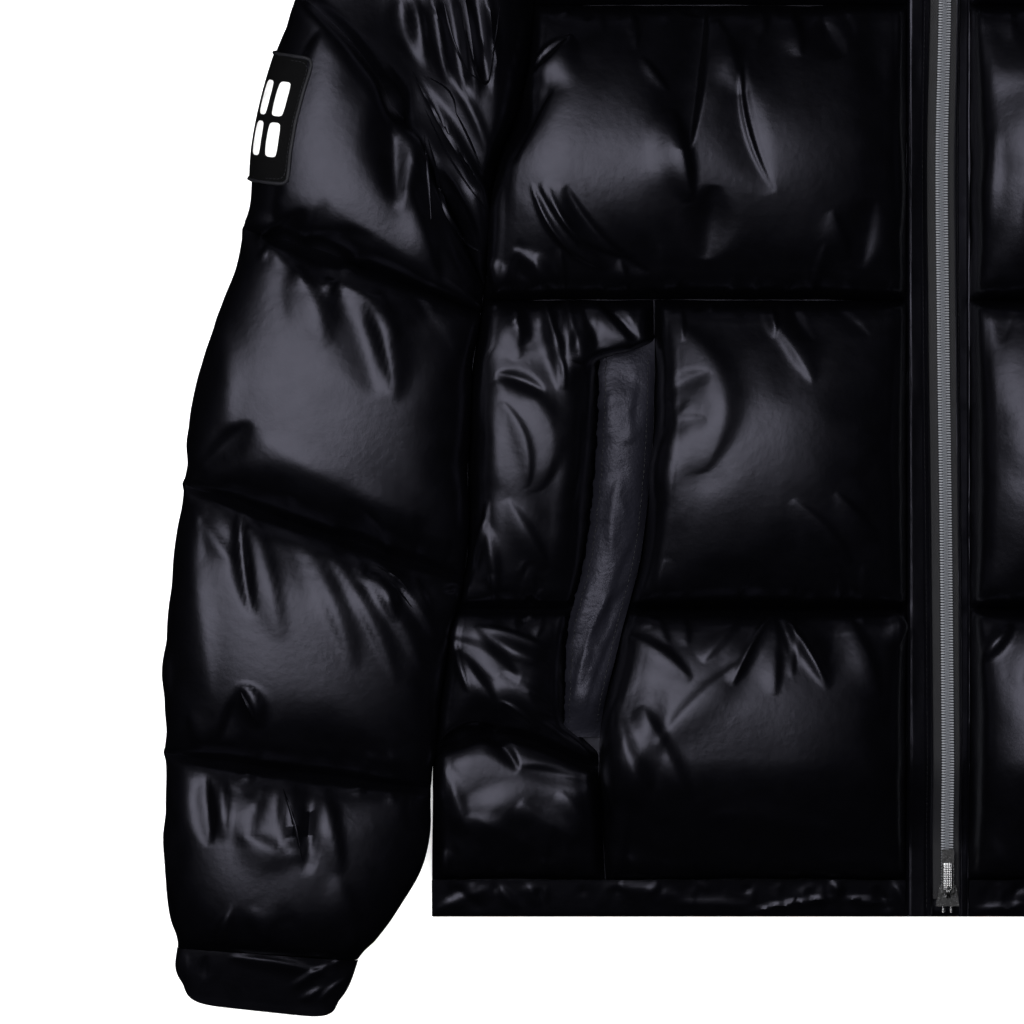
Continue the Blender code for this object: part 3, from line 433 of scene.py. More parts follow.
def normals(grid, isRound):
    down = np.gradient(grid, axis=0)
    if isRound:
        across = (np.roll(grid, -1, axis=1) - np.roll(grid, 1, axis=1)) / 2
    else:
        across = np.gradient(grid, axis=1)
    out = np.cross(across, down)
    return out / np.maximum(np.linalg.norm(out, axis=-1, keepdims=True), 1e-12)


def closedPanel(name, grid, lift=bodyFacts["gap"]):
    # Close a panel: its rim goes to the plane between front and back, moved by lift, with a plain inside
    rows, cols = grid.shape[:2]
    rim = rimOf(rows, cols)
    low = grid.reshape(-1, 3)[rim].copy()
    low[:, 2] = plane(low[:, 1] + bodyFacts["middle"]) + lift
    base = rows * cols + np.arange(len(rim))
    right = base[cols - 1:cols + rows - 1]
    top = base[cols + rows - 2:2 * cols + rows - 2]
    left = np.append(base, base[:1])[2 * cols + rows - 3:][::-1]
    faces = gridFaces(rows, cols).tolist()
    faces += np.stack([rim, base, np.roll(base, -1), np.roll(rim, -1)], axis=-1).tolist()
    faces += np.stack([left[1:-2], left[2:-1], right[2:-1], right[1:-2]], axis=-1).tolist()
    faces.append(np.concatenate([base[:cols], right[1:2], left[1:2]])[::-1].tolist())
    faces.append(np.concatenate([left[-2:-1], right[-2:-1], top])[::-1].tolist())
    return meshObject(name, np.concatenate([grid.reshape(-1, 3), low]), faces)


def closedSleeve(name, grid):
    # Close a sleeve: the first and the last ring each get a cap, folded flat from edge to edge
    rows, cols = grid.shape[:2]
    faces = gridFaces(rows, cols, 0, True)
    for ring, turn in ((np.arange(cols), -1), (np.arange(cols) + (rows - 1) * cols, 1)):
        half = (cols - 2) // 2
        there, back = ring[:half + 1], ring[::-1][:half + 1]
        cap = np.stack([there[:-1], there[1:], back[1:], back[:-1]], axis=-1)
        faces = np.concatenate([faces, cap[:, ::turn]])
    made = meshObject(name, grid, faces)
    made.data.validate()
    return made


def creaseRise(x, v, creases):
    # Folds laid over cloth: each is rise * sin(pi s)^0.8 * exp(-(d / w)^2), with d the distance from its own
    # bowed line and s the way along it; w is widest halfway, and less on the line's left than on its right
    total = np.zeros(np.shape(x))
    for x1, v1, x2, v2, width, rise, bow, *own in creases:
        left, right = own or (0.62, 1.45)
        run, climb = x2 - x1, v2 - v1
        length = math.hypot(run, climb)
        s = ((x / mm - x1) * run + (v / mm - v1) * climb) / length**2
        d = ((v / mm - v1) * run - (x / mm - x1) * climb) / length - bow * (1 - (2 * s - 1) ** 2)
        swell = np.sin(math.pi * np.clip(s, 0, 1))
        w = np.where(d > 0, left, right) * width * (0.35 + 0.65 * swell)
        total += rise * mm * swell**0.8 * np.exp(-(d / w) ** 2)
    return total


def lobeRise(x, v, lobes):
    # Soft bulges with a clear edge: rise * (1 - ease((r - soft) / (1 - soft))), r the elliptic distance
    total = np.zeros(np.shape(x))
    for centreX, centreV, alongRadius, acrossRadius, heading, rise, soft in lobes:
        turn = math.radians(heading)
        dx, dv = x / mm - centreX, v / mm - centreV
        a = (dx * math.cos(turn) + dv * math.sin(turn)) / alongRadius
        b = (dv * math.cos(turn) - dx * math.sin(turn)) / acrossRadius
        total += rise * mm * (1 - ease((np.hypot(a, b) - soft) / (1 - soft)))
    return total


def gathers(line, away, count, key, longest, tallest):
    # Small pleats that start at a seam: line is the seam's points (mm), away the way they run from it
    tones = np.random.default_rng(key)
    line = np.array(line, dtype=float)
    along = np.concatenate([[0], np.cumsum(np.hypot(*np.diff(line, axis=0).T))])
    rows = []
    for at in np.sort(tones.uniform(0, along[-1], count)):
        x1, v1 = np.interp(at, along, line[:, 0]), np.interp(at, along, line[:, 1])
        length = longest * tones.uniform(0.2, 1) ** 1.6
        lean = math.radians(away + tones.normal(0, 17))
        rise = tallest * tones.uniform(0.35, 1) * tones.choice([1, 1, -0.8])
        start = 2.5
        rows.append((x1 + start * math.cos(lean), v1 + start * math.sin(lean),
                     x1 + length * math.cos(lean), v1 + length * math.sin(lean),
                     tones.uniform(2.2, 4.4) * (0.7 + length / 60), rise, tones.normal(0, 1.5)))
    return rows


def seamLine(name, side, low, high):
    # Points along a seam of the front (mm), from the zip outwards
    return [(side * x, bodyFacts[name] / mm) for x in np.linspace(low, high, 12)]


def liftPanel(panel, creases, lobes, keep):
    # Move the cloth along its own normal by its creases, and by nothing at its rim
    grid = panel["grid"]
    x, v = grid[..., 0], grid[..., 1] + bodyFacts["middle"]
    rise = creaseRise(x, v, creases) + lobeRise(x, v, lobes)
    panel["grid"] = grid + normals(grid, panel["round"]) * (rise * keep)[..., None]


def plumpEdges(panel, sewnRows, rise, reach):
    # Round the cloth off beside its seams: z is at least base + rise * sqrt(1 - (1 - d / reach)^2)
    grid = panel["grid"][:, panel["plain"][0]:panel["grid"].shape[1] - panel["plain"][1]]
    flat = grid[..., :2]
    gaps = [np.linalg.norm(flat - flat[k:k + 1], axis=-1) for k in np.nonzero(sewnRows)[0]]
    rowGap = np.minimum.reduce(gaps)
    colGap = np.minimum(np.linalg.norm(flat - flat[:, :1], axis=-1),
                        np.linalg.norm(flat - flat[:, -1:], axis=-1))
    base = plane(grid[..., 1] + bodyFacts["middle"]) + 4 * mm
    floorZ = base + rise * corner(arc(rowGap, reach), arc(colGap, reach))
    blend = 2.5 * mm * ease(np.minimum(rowGap, colGap) / (8 * mm))
    over = grid[..., 2] - floorZ
    grid[..., 2] = floorZ + 0.5 * (over + np.sqrt(over**2 + blend**2))


def rimFade(rows, cols, reach=3):
    r, c = np.arange(rows)[:, None], np.arange(cols)[None, :]
    edge = np.minimum(np.minimum(r, rows - 1 - r), np.minimum(c, cols - 1 - c))
    return ease(edge / reach)


# Creases of each front panel, wearer's right: start x, v, end x, v, width, rise, bow (mm)
chestCreases = [
    (-120, 498, -102, 424, 2.2, 1.8, -6, 0.8, 0.8), (-242, 493, -217, 515, 2.2, 1.8, 4, 0.8, 0.8),
    (-242, 428, -214, 384, 2.4, 2, -4, 0.8, 0.8), (-232, 425, -198, 380, 2.2, 1.6, -4, 0.8, 0.8),
    (-178, 502, -162, 483, 3, 1.5, 0), (-225, 391, -222, 367, 2.6, 1.6, 0),
    (-190, 384, -185, 366, 2.6, 1.4, 0),
    (-140, 535, -151, 446, 10, -8.5, 0, 0.28, 2.1), (-160, 472, -149, 417, 8, 5, 0, 0.5, 1.6),
    (-121, 501, -102, 422, 9, -2.8, -4, 0.7, 1.7), (-116, 503, -98, 420, 4, 0.6, -5, 0.8, 0.8),
    (-134, 525, -119, 481, 8, 3, 0), (-136, 426, -141, 384, 11, -5, 0, 1, 1),
    (-43, 419, -50, 379, 9, -3, 0, 0.6, 1.5), (-68, 412, -58, 384, 6, 2, 0),
    (-218, 515, -244, 488, 7, 5, 3, 1.5, 0.5), (-230, 483, -253, 439, 7, -5.5, -4, 0.5, 1.5),
    (-237, 428, -183, 384, 6, 4, -8, 1.5, 0.5), (-239, 420, -198, 378, 5, 3.6, -6, 1.5, 0.5),
    (-222, 426, -173, 376, 6, -3.6, -7), (-260, 434, -264, 367, 8, 5, 0, 0.5, 1.4),
    (-253, 390, -225, 367, 7, 3, 2), (-30, 470, -26, 400, 8, 2, 0), (-73, 525, -60, 502, 7, -3, 0),
    (-91, 531, -85, 502, 6, 2.4, 0)]
frontCreases = [
    (-160, 349, -143, 260, 8, 3.2, 20, 1.3, 2.4), (-175, 357, -166, 331, 4, 3, -2, 0.5, 1.4),
    (-166, 303, -138, 318, 6, -1.6, 3, 0.7, 1.4), (-169, 282, -140, 291, 6, -1.2, 3, 0.7, 1.4),
    (-170, 242, -149, 303, 10, 2, 3), (-108, 356, -78, 312, 6, 2.4, 2, 1.5, 0.7),
    (-91, 245, -56, 208, 6, 2, 2), (-66, 249, -40, 221, 5, 1.8, 0), (-99, 179, -70, 135, 6, 3, 2, 1.5, 0.7),
    (-99, 179, -126, 137, 7, 3, -2, 0.7, 1.5), (-100, 179, -101, 131, 6, 2, 0),
    (-98, 178, -71, 137, 2.4, 1.6, 2, 0.6, 1.2), (-100, 178, -125, 137, 2.4, 1.4, -2, 0.6, 1.2),
    (-120, 177, -143, 151, 7, 2.4, 0), (-194, 130, -162, 60, 12, 5, -6, 0.6, 1.3),
    (-178, 125, -149, 69, 9, 3, 0), (-170, 101, -120, 150, 9, 2.2, 2), (-32, 181, -18, 157, 5, 4, 0),
    (-27, 157, -17, 179, 5, -3, 0), (-27, 156, -13, 180, 2.4, 2, 0), (-60, 179, -40, 130, 7, 2.2, 2),
    (-190, 167, -149, 140, 7, 2.6, 3), (-140, 62, -60, 51, 12, 1.8, 2)]
sideCreases = [
    (-259, 315, -237, 250, 8, 3.2, 17, 1.1, 2.2), (-262, 318, -234, 307, 6, -2.6, 2, 0.6, 1.3),
    (-259, 302, -244, 252, 5, 1.8, 6, 0.7, 1.4), (-237, 367, -225, 308, 7, 3.4, 2, 1.4, 0.6),
    (-224, 366, -211, 310, 6, 3, 2, 1.4, 0.6), (-237, 365, -222, 308, 2.4, 1.8, 3, 0.6, 1.2),
    (-214, 362, -182, 331, 6, 3.4, 2), (-202, 364, -178, 337, 5, -3, 0),
    (-208, 362, -181, 332, 2.2, 1.6, 2, 0.6, 1.2), (-252, 359, -249, 326, 7, 2.4, 0),
    (-256, 245, -232, 205, 7, 2.4, 0), (-216, 301, -222, 233, 9, 2, 2), (-269, 233, -261, 192, 6, 3, 0),
    (-267, 245, -278, 201, 2.4, 2, 2, 0.8, 0.8), (-290, 163, -249, 139, 9, -3, 4),
    (-274, 172, -232, 149, 9, 3.4, -3, 1.4, 0.6), (-276, 171, -230, 157, 2.2, 1.4, 2),
    (-285, 157, -260, 121, 6, 2.6, 0), (-287, 163, -278, 133, 2.2, 1.8, 0), (-260, 144, -225, 111, 8, 3, 3),
    (-260, 128, -237, 110, 2.4, 1.6, 2), (-243, 133, -228, 121, 2.2, -1.6, 0),
    (-297, 103, -272, 115, 4, -4, 0), (-272, 115, -249, 87, 4, -4, 3), (-249, 88, -202, 80, 6, -2.6, 1),
    (-297, 102, -272, 113, 2.2, 1.8, 2, 0.8, 0.8), (-280, 60, -240, 40, 10, 2, 2),
    (-249, 69, -214, 47, 9, 2.6, -2), (-293, 90, -278, 50, 7, 2.4, 0), (-225, 75, -204, 40, 7, 2, 2)]
sleeveCreases = [
    (-300, 540, -291, 486, 5, 4.5, 2, 0.5, 1.3), (-291, 542, -281, 480, 5, -4.5, 2),
    (-283, 545, -273, 478, 5, 5, 2, 0.5, 1.3), (-275, 545, -266, 482, 4, -4, 1),
    (-268, 540, -262, 486, 4, 3.6, 1, 0.5, 1.3), (-309, 536, -304, 500, 5, -4, 0),
    (-318, 540, -312, 505, 6, 3, 0),
    (-311, 488, -318, 411, 9, 5, 3, 1.5, 0.5), (-322, 496, -319, 417, 8, -5, 0),
    (-300, 443, -270, 387, 6, 3.6, 8, 1.4, 0.5), (-308, 489, -267, 418, 3.2, 2.6, 3, 0.8, 0.8),
    (-304, 481, -269, 413, 3, 2.4, 5, 0.8, 0.8), (-297, 472, -266, 405, 3, 2.2, 4, 0.8, 0.8),
    (-305, 461, -288, 405, 3, 2, 2, 0.8, 0.8), (-295, 498, -265, 439, 3.4, 2.4, 4, 0.8, 0.8),
    (-313, 426, -295, 367, 7, 3, 0), (-412, 420, -386, 380, 7, 3, 0, 1.4, 0.6),
    (-400, 393, -373, 412, 6, -4, 0), (-405, 412, -386, 420, 6, 3, 0), (-384, 385, -335, 399, 9, -3, 2),
    (-356, 373, -339, 390, 5, 3, 0), (-341, 369, -321, 302, 8, 4.2, 4, 1.5, 0.45),
    (-360, 380, -331, 305, 10, -3.4, 4), (-377, 380, -360, 332, 9, 2.4, 2),
    (-429, 362, -418, 285, 14, 2, 3), (-438, 257, -405, 289, 9, -4.6, 2),
    (-400, 280, -301, 233, 16, 2.6, -5), (-348, 245, -328, 216, 9, -3, 0),
    (-411, 239, -403, 177, 5.5, -4.6, -2, 0.6, 0.9), (-402, 233, -386, 163, 8, 2.2, 0),
    (-377, 223, -345, 146, 7, 2.4, 3, 1.5, 0.6), (-364, 220, -320, 138, 6, 2.4, 4, 1.5, 0.6),
    (-351, 216, -305, 146, 6, 2.4, 4, 1.5, 0.6), (-335, 209, -297, 163, 4.4, 2.6, 4, 1.5, 0.6),
    (-444, 239, -428, 128, 12, 2, 0), (-423, 103, -409, 135, 6, -4, 0), (-410, 139, -400, 113, 6, 4.4, 4),
    (-431, 85, -428, 44, 5, -4, 0), (-421, 82, -419, 47, 5, 2.4, 0),
    (-386, 81, -374, 33, 8, 5, -2, 1.5, 0.4), (-370, 69, -371, 27, 5, -3.4, 0),
    (-367, 81, -352, 27, 6, 3, 2), (-412, 51, -380, 35, 8, 2.4, 0), (-402, 75, -407, 44, 8, 1.8, 0),
    (-354, 28, -341, -19, 8, 2, 0), (-455, 163, -453, 128, 5, 2.6, 0), (-456, 62, -453, 22, 6, 2, 0)]
panelCreases = {"chest": chestCreases, "front": frontCreases, "side": sideCreases, "sleeve": sleeveCreases}

# Bulges with an edge: centre x, v, radius along, radius across, heading, rise, soft share
frontLobes = [(-182, 98, 46, 18, 74, 3.6, 0.15), (-191, 47, 26, 8, 82, 3, 0.3),
              (-171, 262, 44, 32, 90, 3, 0.0), (-165, 60, 50, 34, 90, 4, 0.0)]
sideLobes = [(-214, 330, 26, 9, 70, 3, 0.2), (-262, 62, 30, 18, 20, 3, 0.1), (-250, 150, 30, 14, -20, 3, 0.1)]
panelLobes = {"front": frontLobes, "side": sideLobes}

# Crisp folded edges: points along each (mm), half width, height (mm)
crispFolds = {
    "sleeve": [
        (((-311, 494), (-300, 474), (-286, 449), (-266, 418)), 1.3, 1.5),
        (((-305, 475), (-293, 450), (-280, 429), (-267, 412)), 1, 1.1),
        (((-302, 490), (-292, 484), (-287, 477), (-285, 467)), 0.9, 1),
        (((-286, 470), (-278, 454), (-269, 432)), 1.1, 1.2),
        (((-304, 457), (-302, 434), (-300, 407)), 1.1, 1.3),
        (((-302, 455), (-297, 436), (-292, 413), (-281, 396), (-267, 386)), 1.7, 2),
        (((-283, 532), (-278, 508), (-273, 490), (-267, 487), (-264, 502), (-260, 531)), 1.2, 1.4),
        (((-293, 535), (-288, 514), (-280, 495), (-273, 488)), 1.2, 1.3),
        (((-313, 192), (-320, 199), (-331, 206)), 1, 1.1),
        (((-311, 182), (-318, 191), (-327, 200)), 0.9, 1),
        (((-410, 133), (-405, 124), (-400, 112)), 1.2, 1.4),
        (((-386, 77), (-380, 60), (-374, 35)), 1.3, 1.5)]}


def crispRidges(made, folds, side):
    # Thin folded edges on a piece: a tent-like section, width * sin(pi s)^0.7, carried along its surface
    tree = BVHTree.FromObject(made, bpy.context.evaluated_depsgraph_get())
    section = np.array([(-1, -0.6), (-0.55, 0.35), (-0.12, 0.95), (0.25, 0.9), (0.6, 0.3), (1, -0.6),
                        (0, -0.9)])
    verts, faces, start = [], [], 0
    for points, width, height in folds:
        knots = np.array(points, dtype=float) * mm
        at = np.linspace(0, len(knots) - 1, 12 * len(knots))
        x = cubic(np.arange(float(len(knots))), knots[:, 0], at) * -side
        y = cubic(np.arange(float(len(knots))), knots[:, 1], at) - bodyFacts["middle"]
        hits = [tree.ray_cast((a, b, 0.2), (0, 0, -1)) for a, b in zip(x, y)]
        if any(hit[0] is None for hit in hits):
            continue
        spine = np.array([tuple(hit[0]) for hit in hits])
        up = np.array([tuple(hit[1]) for hit in hits])
        spine[:, 2], up = eased(spine[:, 2], 2), eased(up, 3)
        ahead = np.gradient(spine, axis=0)
        ahead /= np.linalg.norm(ahead, axis=1, keepdims=True)
        across = np.cross(ahead, up)
        across /= np.linalg.norm(across, axis=1, keepdims=True)
        swell = np.sin(math.pi * np.linspace(0.01, 0.99, len(at))) ** 0.7
        wide, tall = (section[:, 0] * width * mm)[None, :, None], (section[:, 1] * height * mm)[None, :, None]
        ring = (spine[:, None] + across[:, None] * wide * swell[:, None, None]
                + up[:, None] * tall * swell[:, None, None])
        size = len(section)
        own = gridFaces(len(at), size, start, True)
        ends = [np.arange(size)[::-1] + start, np.arange(size) + start + (len(at) - 1) * size]
        faces += [tuple(f) for f in own.tolist()] + [tuple(e.tolist()) for e in ends]
        verts.append(ring.reshape(-1, 3))
        start += ring.shape[0] * size
    return (np.concatenate(verts), faces) if verts else (np.zeros((0, 3)), [])


def eased(values, passes):
    for _ in range(passes):
        padded = np.concatenate([values[:1], values, values[-1:]])
        values = 0.25 * padded[:-2] + 0.5 * padded[1:-1] + 0.25 * padded[2:]
    return values


def addRidges(made, folds, side):
    # Join the crisp folds to their panel, facing outwards
    verts, faces = crispRidges(made, folds, side)
    if not faces:
        return
    mesh = bmesh.new()
    mesh.from_mesh(made.data)
    points = [mesh.verts.new(v) for v in verts.tolist()]
    fresh = [mesh.faces.new([points[i] for i in face]) for face in faces]
    bmesh.ops.recalc_face_normals(mesh, faces=fresh)
    for face in fresh:
        face.smooth = True
    mesh.to_mesh(made.data)
    mesh.free()


def seamGathers(name, side, key):
    # Pleats along a front panel's sewn rows, away from each seam into the cloth
    rows = []
    for number, (seam, low, high, away, count, longest, tallest) in enumerate(panelGathers.get(name, [])):
        line = seamLine(seam, side, low, high) if isinstance(seam, str) else [(side * -x, v) for x, v in seam]
        turn = away if side < 0 else 180 - away
        rows += gathers(line, turn, count, key * 7 + number, longest, tallest)
    return rows


# Rows of gathers: seam name or its points, from x, to x, heading, number, longest, tallest (mm)
panelGathers = {
    "chest": [("midSeam", 30, 262, 90, 20, 34, 1.6), ("yokeSeam", 30, 236, -90, 14, 30, 1.5)],
    "front": [("midSeam", 24, 160, -84, 10, 40, 1.6), ("lowSeam", 24, 186, 90, 10, 32, 1.3),
              ("lowSeam", 24, 186, -88, 12, 44, 1.7), ("hemSeam", 24, 196, 90, 14, 30, 1.2)],
    "side": [("midSeam", 206, 266, -86, 12, 44, 1.8), ("lowSeam", 222, 284, 90, 9, 30, 1.6),
             ("lowSeam", 200, 284, -90, 10, 32, 1.6), ("hemSeam", 204, 296, 90, 14, 34, 1.5)],
    "yoke": [("yokeSeam", 30, 236, 90, 24, 30, 1.7)],
    "sleeve": [
        ([(-412, 400), (-383, 384), (-336, 370), (-298, 362)], None, None, -76, 14, 50, 1.9),
        ([(-412, 406), (-383, 392), (-336, 378), (-298, 368)], None, None, 84, 7, 34, 1.5),
        ([(-447, 252), (-417, 240), (-360, 218), (-333, 206), (-283, 196)], None, None, -66, 14, 60, 2),
        ([(-447, 258), (-417, 247), (-360, 226), (-333, 213), (-283, 202)], None, None, 96, 7, 30, 1.4),
        ([(-457, 94), (-400, 88), (-300, 76)], None, None, -84, 14, 50, 1.9),
        ([(-457, 100), (-400, 95), (-300, 84)], None, None, 92, 7, 30, 1.4),
        ([(-449, -14), (-343, -22)], None, None, 88, 13, 34, 1.5)]}


def mirrored(creases, key, spread=9, share=0.8):
    # Like folds for the other side: each is moved, turned and sized a little differently
    tones = np.random.default_rng(key)
    rows = []
    for x1, v1, x2, v2, width, rise, bow, *own in creases:
        if tones.uniform() > share:
            continue
        dx, dv = tones.normal(0, spread, 2)
        grow, turn = tones.uniform(0.75, 1.2), tones.normal(0, 5)
        rows.append((-(x1 + dx), v1 + dv, -(x2 + dx + turn), v2 + dv + turn,
                     width * tones.uniform(0.8, 1.25), rise * grow, -bow, *own[::-1]))
    return rows


class Finish:
    # A node material in the object's own coordinates
    def __init__(self, name):
        self.made = bpy.data.materials.new(name)
        self.made.use_nodes = True
        self.nodes, self.links = self.made.node_tree.nodes, self.made.node_tree.links
        self.inputs = self.nodes["Principled BSDF"].inputs
        self.place = self.nodes.new("ShaderNodeTexCoord").outputs["Object"]

    def noise(self, scale, detail):
        cloud = self.nodes.new("ShaderNodeTexNoise")
        cloud.inputs["Scale"].default_value = scale
        cloud.inputs["Detail"].default_value = detail
        self.links.new(self.place, cloud.inputs["Vector"])
        return cloud.outputs["Fac"]

    def threads(self, turn, pitch):
        # One wave of threads, turned in the cloth
        lay = self.nodes.new("ShaderNodeMapping")
        lay.inputs["Rotation"].default_value[2] = math.radians(turn)
        self.links.new(self.place, lay.inputs["Vector"])
        wave = self.nodes.new("ShaderNodeTexWave")
        wave.inputs["Scale"].default_value = 0.314 / pitch
        wave.inputs["Distortion"].default_value = 1.2
        wave.inputs["Detail"].default_value = 1
        self.links.new(lay.outputs["Vector"], wave.inputs["Vector"])
        return wave.outputs["Fac"]

    def product(self, first, second):
        both = self.nodes.new("ShaderNodeMath")
        both.operation = "MULTIPLY"
        self.links.new(first, both.inputs[0])
        self.links.new(second, both.inputs[1])
        return both.outputs["Value"]

    def tone(self, share, tone, low, high):
        # The tone runs from low to high times its own value
        ramp = self.nodes.new("ShaderNodeValToRGB")
        for element, times in zip(ramp.color_ramp.elements, (low, high)):
            element.color = tuple(part * times for part in tone) + (1,)
        self.links.new(share, ramp.inputs["Fac"])
        self.links.new(ramp.outputs["Color"], self.inputs["Base Color"])

    def rough(self, share, rough, spread):
        level = self.nodes.new("ShaderNodeMapRange")
        level.inputs["To Min"].default_value = rough - spread
        level.inputs["To Max"].default_value = rough + spread
        self.links.new(share, level.inputs["Value"])
        self.links.new(level.outputs["Result"], self.inputs["Roughness"])

    def dent(self, height, distance, strength):
        bumps = self.nodes.new("ShaderNodeBump")
        bumps.inputs["Distance"].default_value = distance
        bumps.inputs["Strength"].default_value = strength
        self.links.new(height, bumps.inputs["Height"])
        self.links.new(bumps.outputs["Normal"], self.inputs["Normal"])


def nylon(name, tone, rough, crumple=0.35, grain=220):
    finish = Finish(name)
    cloud = finish.noise(90, 4)
    finish.tone(cloud, tone, 0.7, 1.3)
    finish.inputs["Specular Tint"].default_value = (0.80, 0.79, 1.0, 1)
    finish.rough(cloud, rough, 0.05)
    finish.dent(finish.noise(grain, 3), 0.0004, crumple)
    return finish.made


def metal(name, tone, rough, metallic=1.0):
    finish = Finish(name)
    finish.inputs["Metallic"].default_value = metallic
    cloud = finish.noise(900, 4)
    finish.tone(cloud, tone, 0.7, 1.2)
    finish.rough(cloud, rough, 0.08)
    finish.dent(cloud, 0.00005, 0.5)
    return finish.made


def woven(name, tone, rough, pitch, depth, shine=0.5):
    # Woven cloth: two crossed waves of threads, tone and height together
    finish = Finish(name)
    finish.inputs["Specular IOR Level"].default_value = shine
    finish.inputs["Roughness"].default_value = rough
    finish.tone(finish.noise(160, 5), tone, 0.55, 1.45)
    finish.dent(finish.product(finish.threads(35, pitch), finish.threads(-35, pitch)), depth, 0.6)
    return finish.made


shell = nylon("blackNylon", (0.0005, 0.0005, 0.0008), 0.36)
brushed = nylon("brushedWelt", (0.004, 0.004, 0.006), 0.47, 0.9, 420)
tape = woven("zipTape", (0.004, 0.004, 0.005), 0.6, 0.0012, 0.0002)
badge = woven("patchCloth", (0.0004, 0.0004, 0.0006), 0.82, 0.0007, 0.0002, 0.22)
rimThread = woven("edgeThread", (0.006, 0.006, 0.008), 0.55, 0.0006, 0.0002)
thread = woven("sewingThread", (0.004, 0.004, 0.005), 0.45, 0.0004, 0.0001)
chalk = woven("markWhite", (0.62, 0.62, 0.62), 0.55, 0.0008, 0.00005)
chain = metal("zipGrey", (0.31, 0.32, 0.35), 0.34, 0.5)
steel = metal("zipMetal", (0.62, 0.62, 0.64), 0.25)

patchFacts = {"angles": (118, 203), "rows": 90, "proud": 0.9, "thick": 1.1, "ends": 2, "lean": 8}


def patchRegion(grid):
    # Rows and columns of the sleeve's grid under the patch: its solid's length, and the angles it wraps
    angle = sleeveSteps()[1]
    turns = np.interp(np.arange(2 * len(angle) - 1) / 2, np.arange(len(angle)), angle)
    first, last = [int(np.argmin(np.abs(turns - math.radians(at)))) for at in patchFacts["angles"]]
    low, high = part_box("sleeve_patch")
    along = grid[:, (first + last) // 2, 1]
    rows = [int(np.argmin(np.abs(along - at))) for at in
            (high.y - patchFacts["ends"] * mm, low.y + patchFacts["ends"] * mm)]
    return rows, (first, last)


def patchSurface(grid):
    # Calm the sleeve under the patch, then lay the patch over it: proud * normal above, with level ends
    (low, high), (first, last) = patchRegion(grid)
    low, high = low - 12, high + 12
    area = grid[low:high + 1, first:last + 1]
    calm = mix(area, softened(area, False, 60), 0.85)
    out = normals(calm, False)
    r, c = np.arange(high - low + 1)[:, None], np.arange(last - first + 1)[None, :]
    edge = np.minimum(np.minimum(r, high - low - r), np.minimum(c, last - first - c))
    grid[low:high + 1, first:last + 1] = mix(area, calm - out * 0.7 * mm, ease((edge - 4) / 6)[..., None])
    over = calm + out * patchFacts["proud"] * mm
    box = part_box("sleeve_patch")
    share = np.linspace(0, 1, patchFacts["rows"])
    columns = []
    for col in range(over.shape[1]):
        lean = patchFacts["lean"] * mm * (1 - col / over.shape[1])
        levels = mix(box[1].y - 2 * mm - lean, box[0].y + 16 * mm - lean, share)
        along = over[::-1, col, 1]
        columns.append([np.interp(levels, along, over[::-1, col, i]) for i in range(3)])
    return np.array(columns).transpose(2, 0, 1)


print("Cloth: cutting the panels")
panels = [make(side) for side in (-1, 1)
          for make in (chestPanel, frontPanel, sidePanel, yokePanel, collarPanel, sleevePanel)]
print("Cloth: blowing the panels up")
starts = [panel["grid"].copy() for panel in panels]
puffUp(panels)
for panel, start in zip(panels, starts):
    moved = panel["grid"] - start
    far = np.linalg.norm(moved, axis=-1, keepdims=True)
    moved = moved * np.minimum(1, clothFacts["farthest"] / np.maximum(far, 1e-9))
    wide = softened(moved, panel["round"], clothFacts["soften"])
    folds = softened(moved, panel["round"], clothFacts["foldPasses"]) - wide
    panel["grid"] = start + clothFacts["wide"] * wide + clothFacts["fold"] * folds

finePanels = ("chest_right", "front_right", "side_right")  # made finer twice
pieces = {}
for number, panel in enumerate(panels):
    name, isRound = panel["name"], panel["round"]
    side = -1 if name.endswith("right") else 1
    sewn = np.zeros(2 * len(panel["pinned"]) - 1, bool)
    sewn[::2] = panel["pinned"].all(axis=1)
    panel["grid"] = refine(panel["grid"], isRound)
    if name in finePanels:
        panel["grid"] = refine(panel["grid"], isRound)
        sewn = np.insert(sewn, np.arange(1, len(sewn)), False)
        panel["plain"] = tuple(2 * n for n in panel["plain"])
    rows, cols = panel["grid"].shape[:2]
    keep = rimFade(rows, cols)
    if isRound:
        facing = normals(panel["grid"], True)[..., 2]
        fromEnds = np.minimum(np.arange(rows), rows - 1 - np.arange(rows))
        keep = ease((facing + 0.1) / 0.4) * ease(fromEnds / 4)[:, None]
    kind = name.split("_")[0]
    creases = panelCreases.get(kind, [])
    if side > 0:
        creases = mirrored([row for row in creases if isRound or row[4] > 3], 40 + number)
    creases = creases + seamGathers(kind, side, 200 + number)
    if not isRound:
        plumpEdges(panel, sewn, clothFacts["edgeRise"], clothFacts["edgeReach"])
    lobes = panelLobes.get(kind, [])
    if side > 0:  # turned about the centre front
        lobes = [(-row[0], row[1], row[2], row[3], 180 - row[4]) + row[5:] for row in lobes]
    liftPanel(panel, creases, lobes, keep)
    low = 0.3 * mm if isRound else plane(panel["grid"][..., 1] + bodyFacts["middle"]) + bodyFacts["gap"]
    panel["grid"][..., 2] = np.maximum(panel["grid"][..., 2], low)
    if name == "sleeve_right":
        patchGrid = patchSurface(panel["grid"])
    made = (closedSleeve if isRound else closedPanel)(name + "_cloth", panel["grid"])
    folds = crispFolds.get(kind, [])
    addRidges(made, folds if side < 0 else folds[::2], side)
    made.data.set_sharp_from_angle(angle=sharpFold)
    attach(made, "jacket")
    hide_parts(name)
    pieces[name] = made
    print(f"Cloth: {name} has {len(made.data.polygons)} faces")


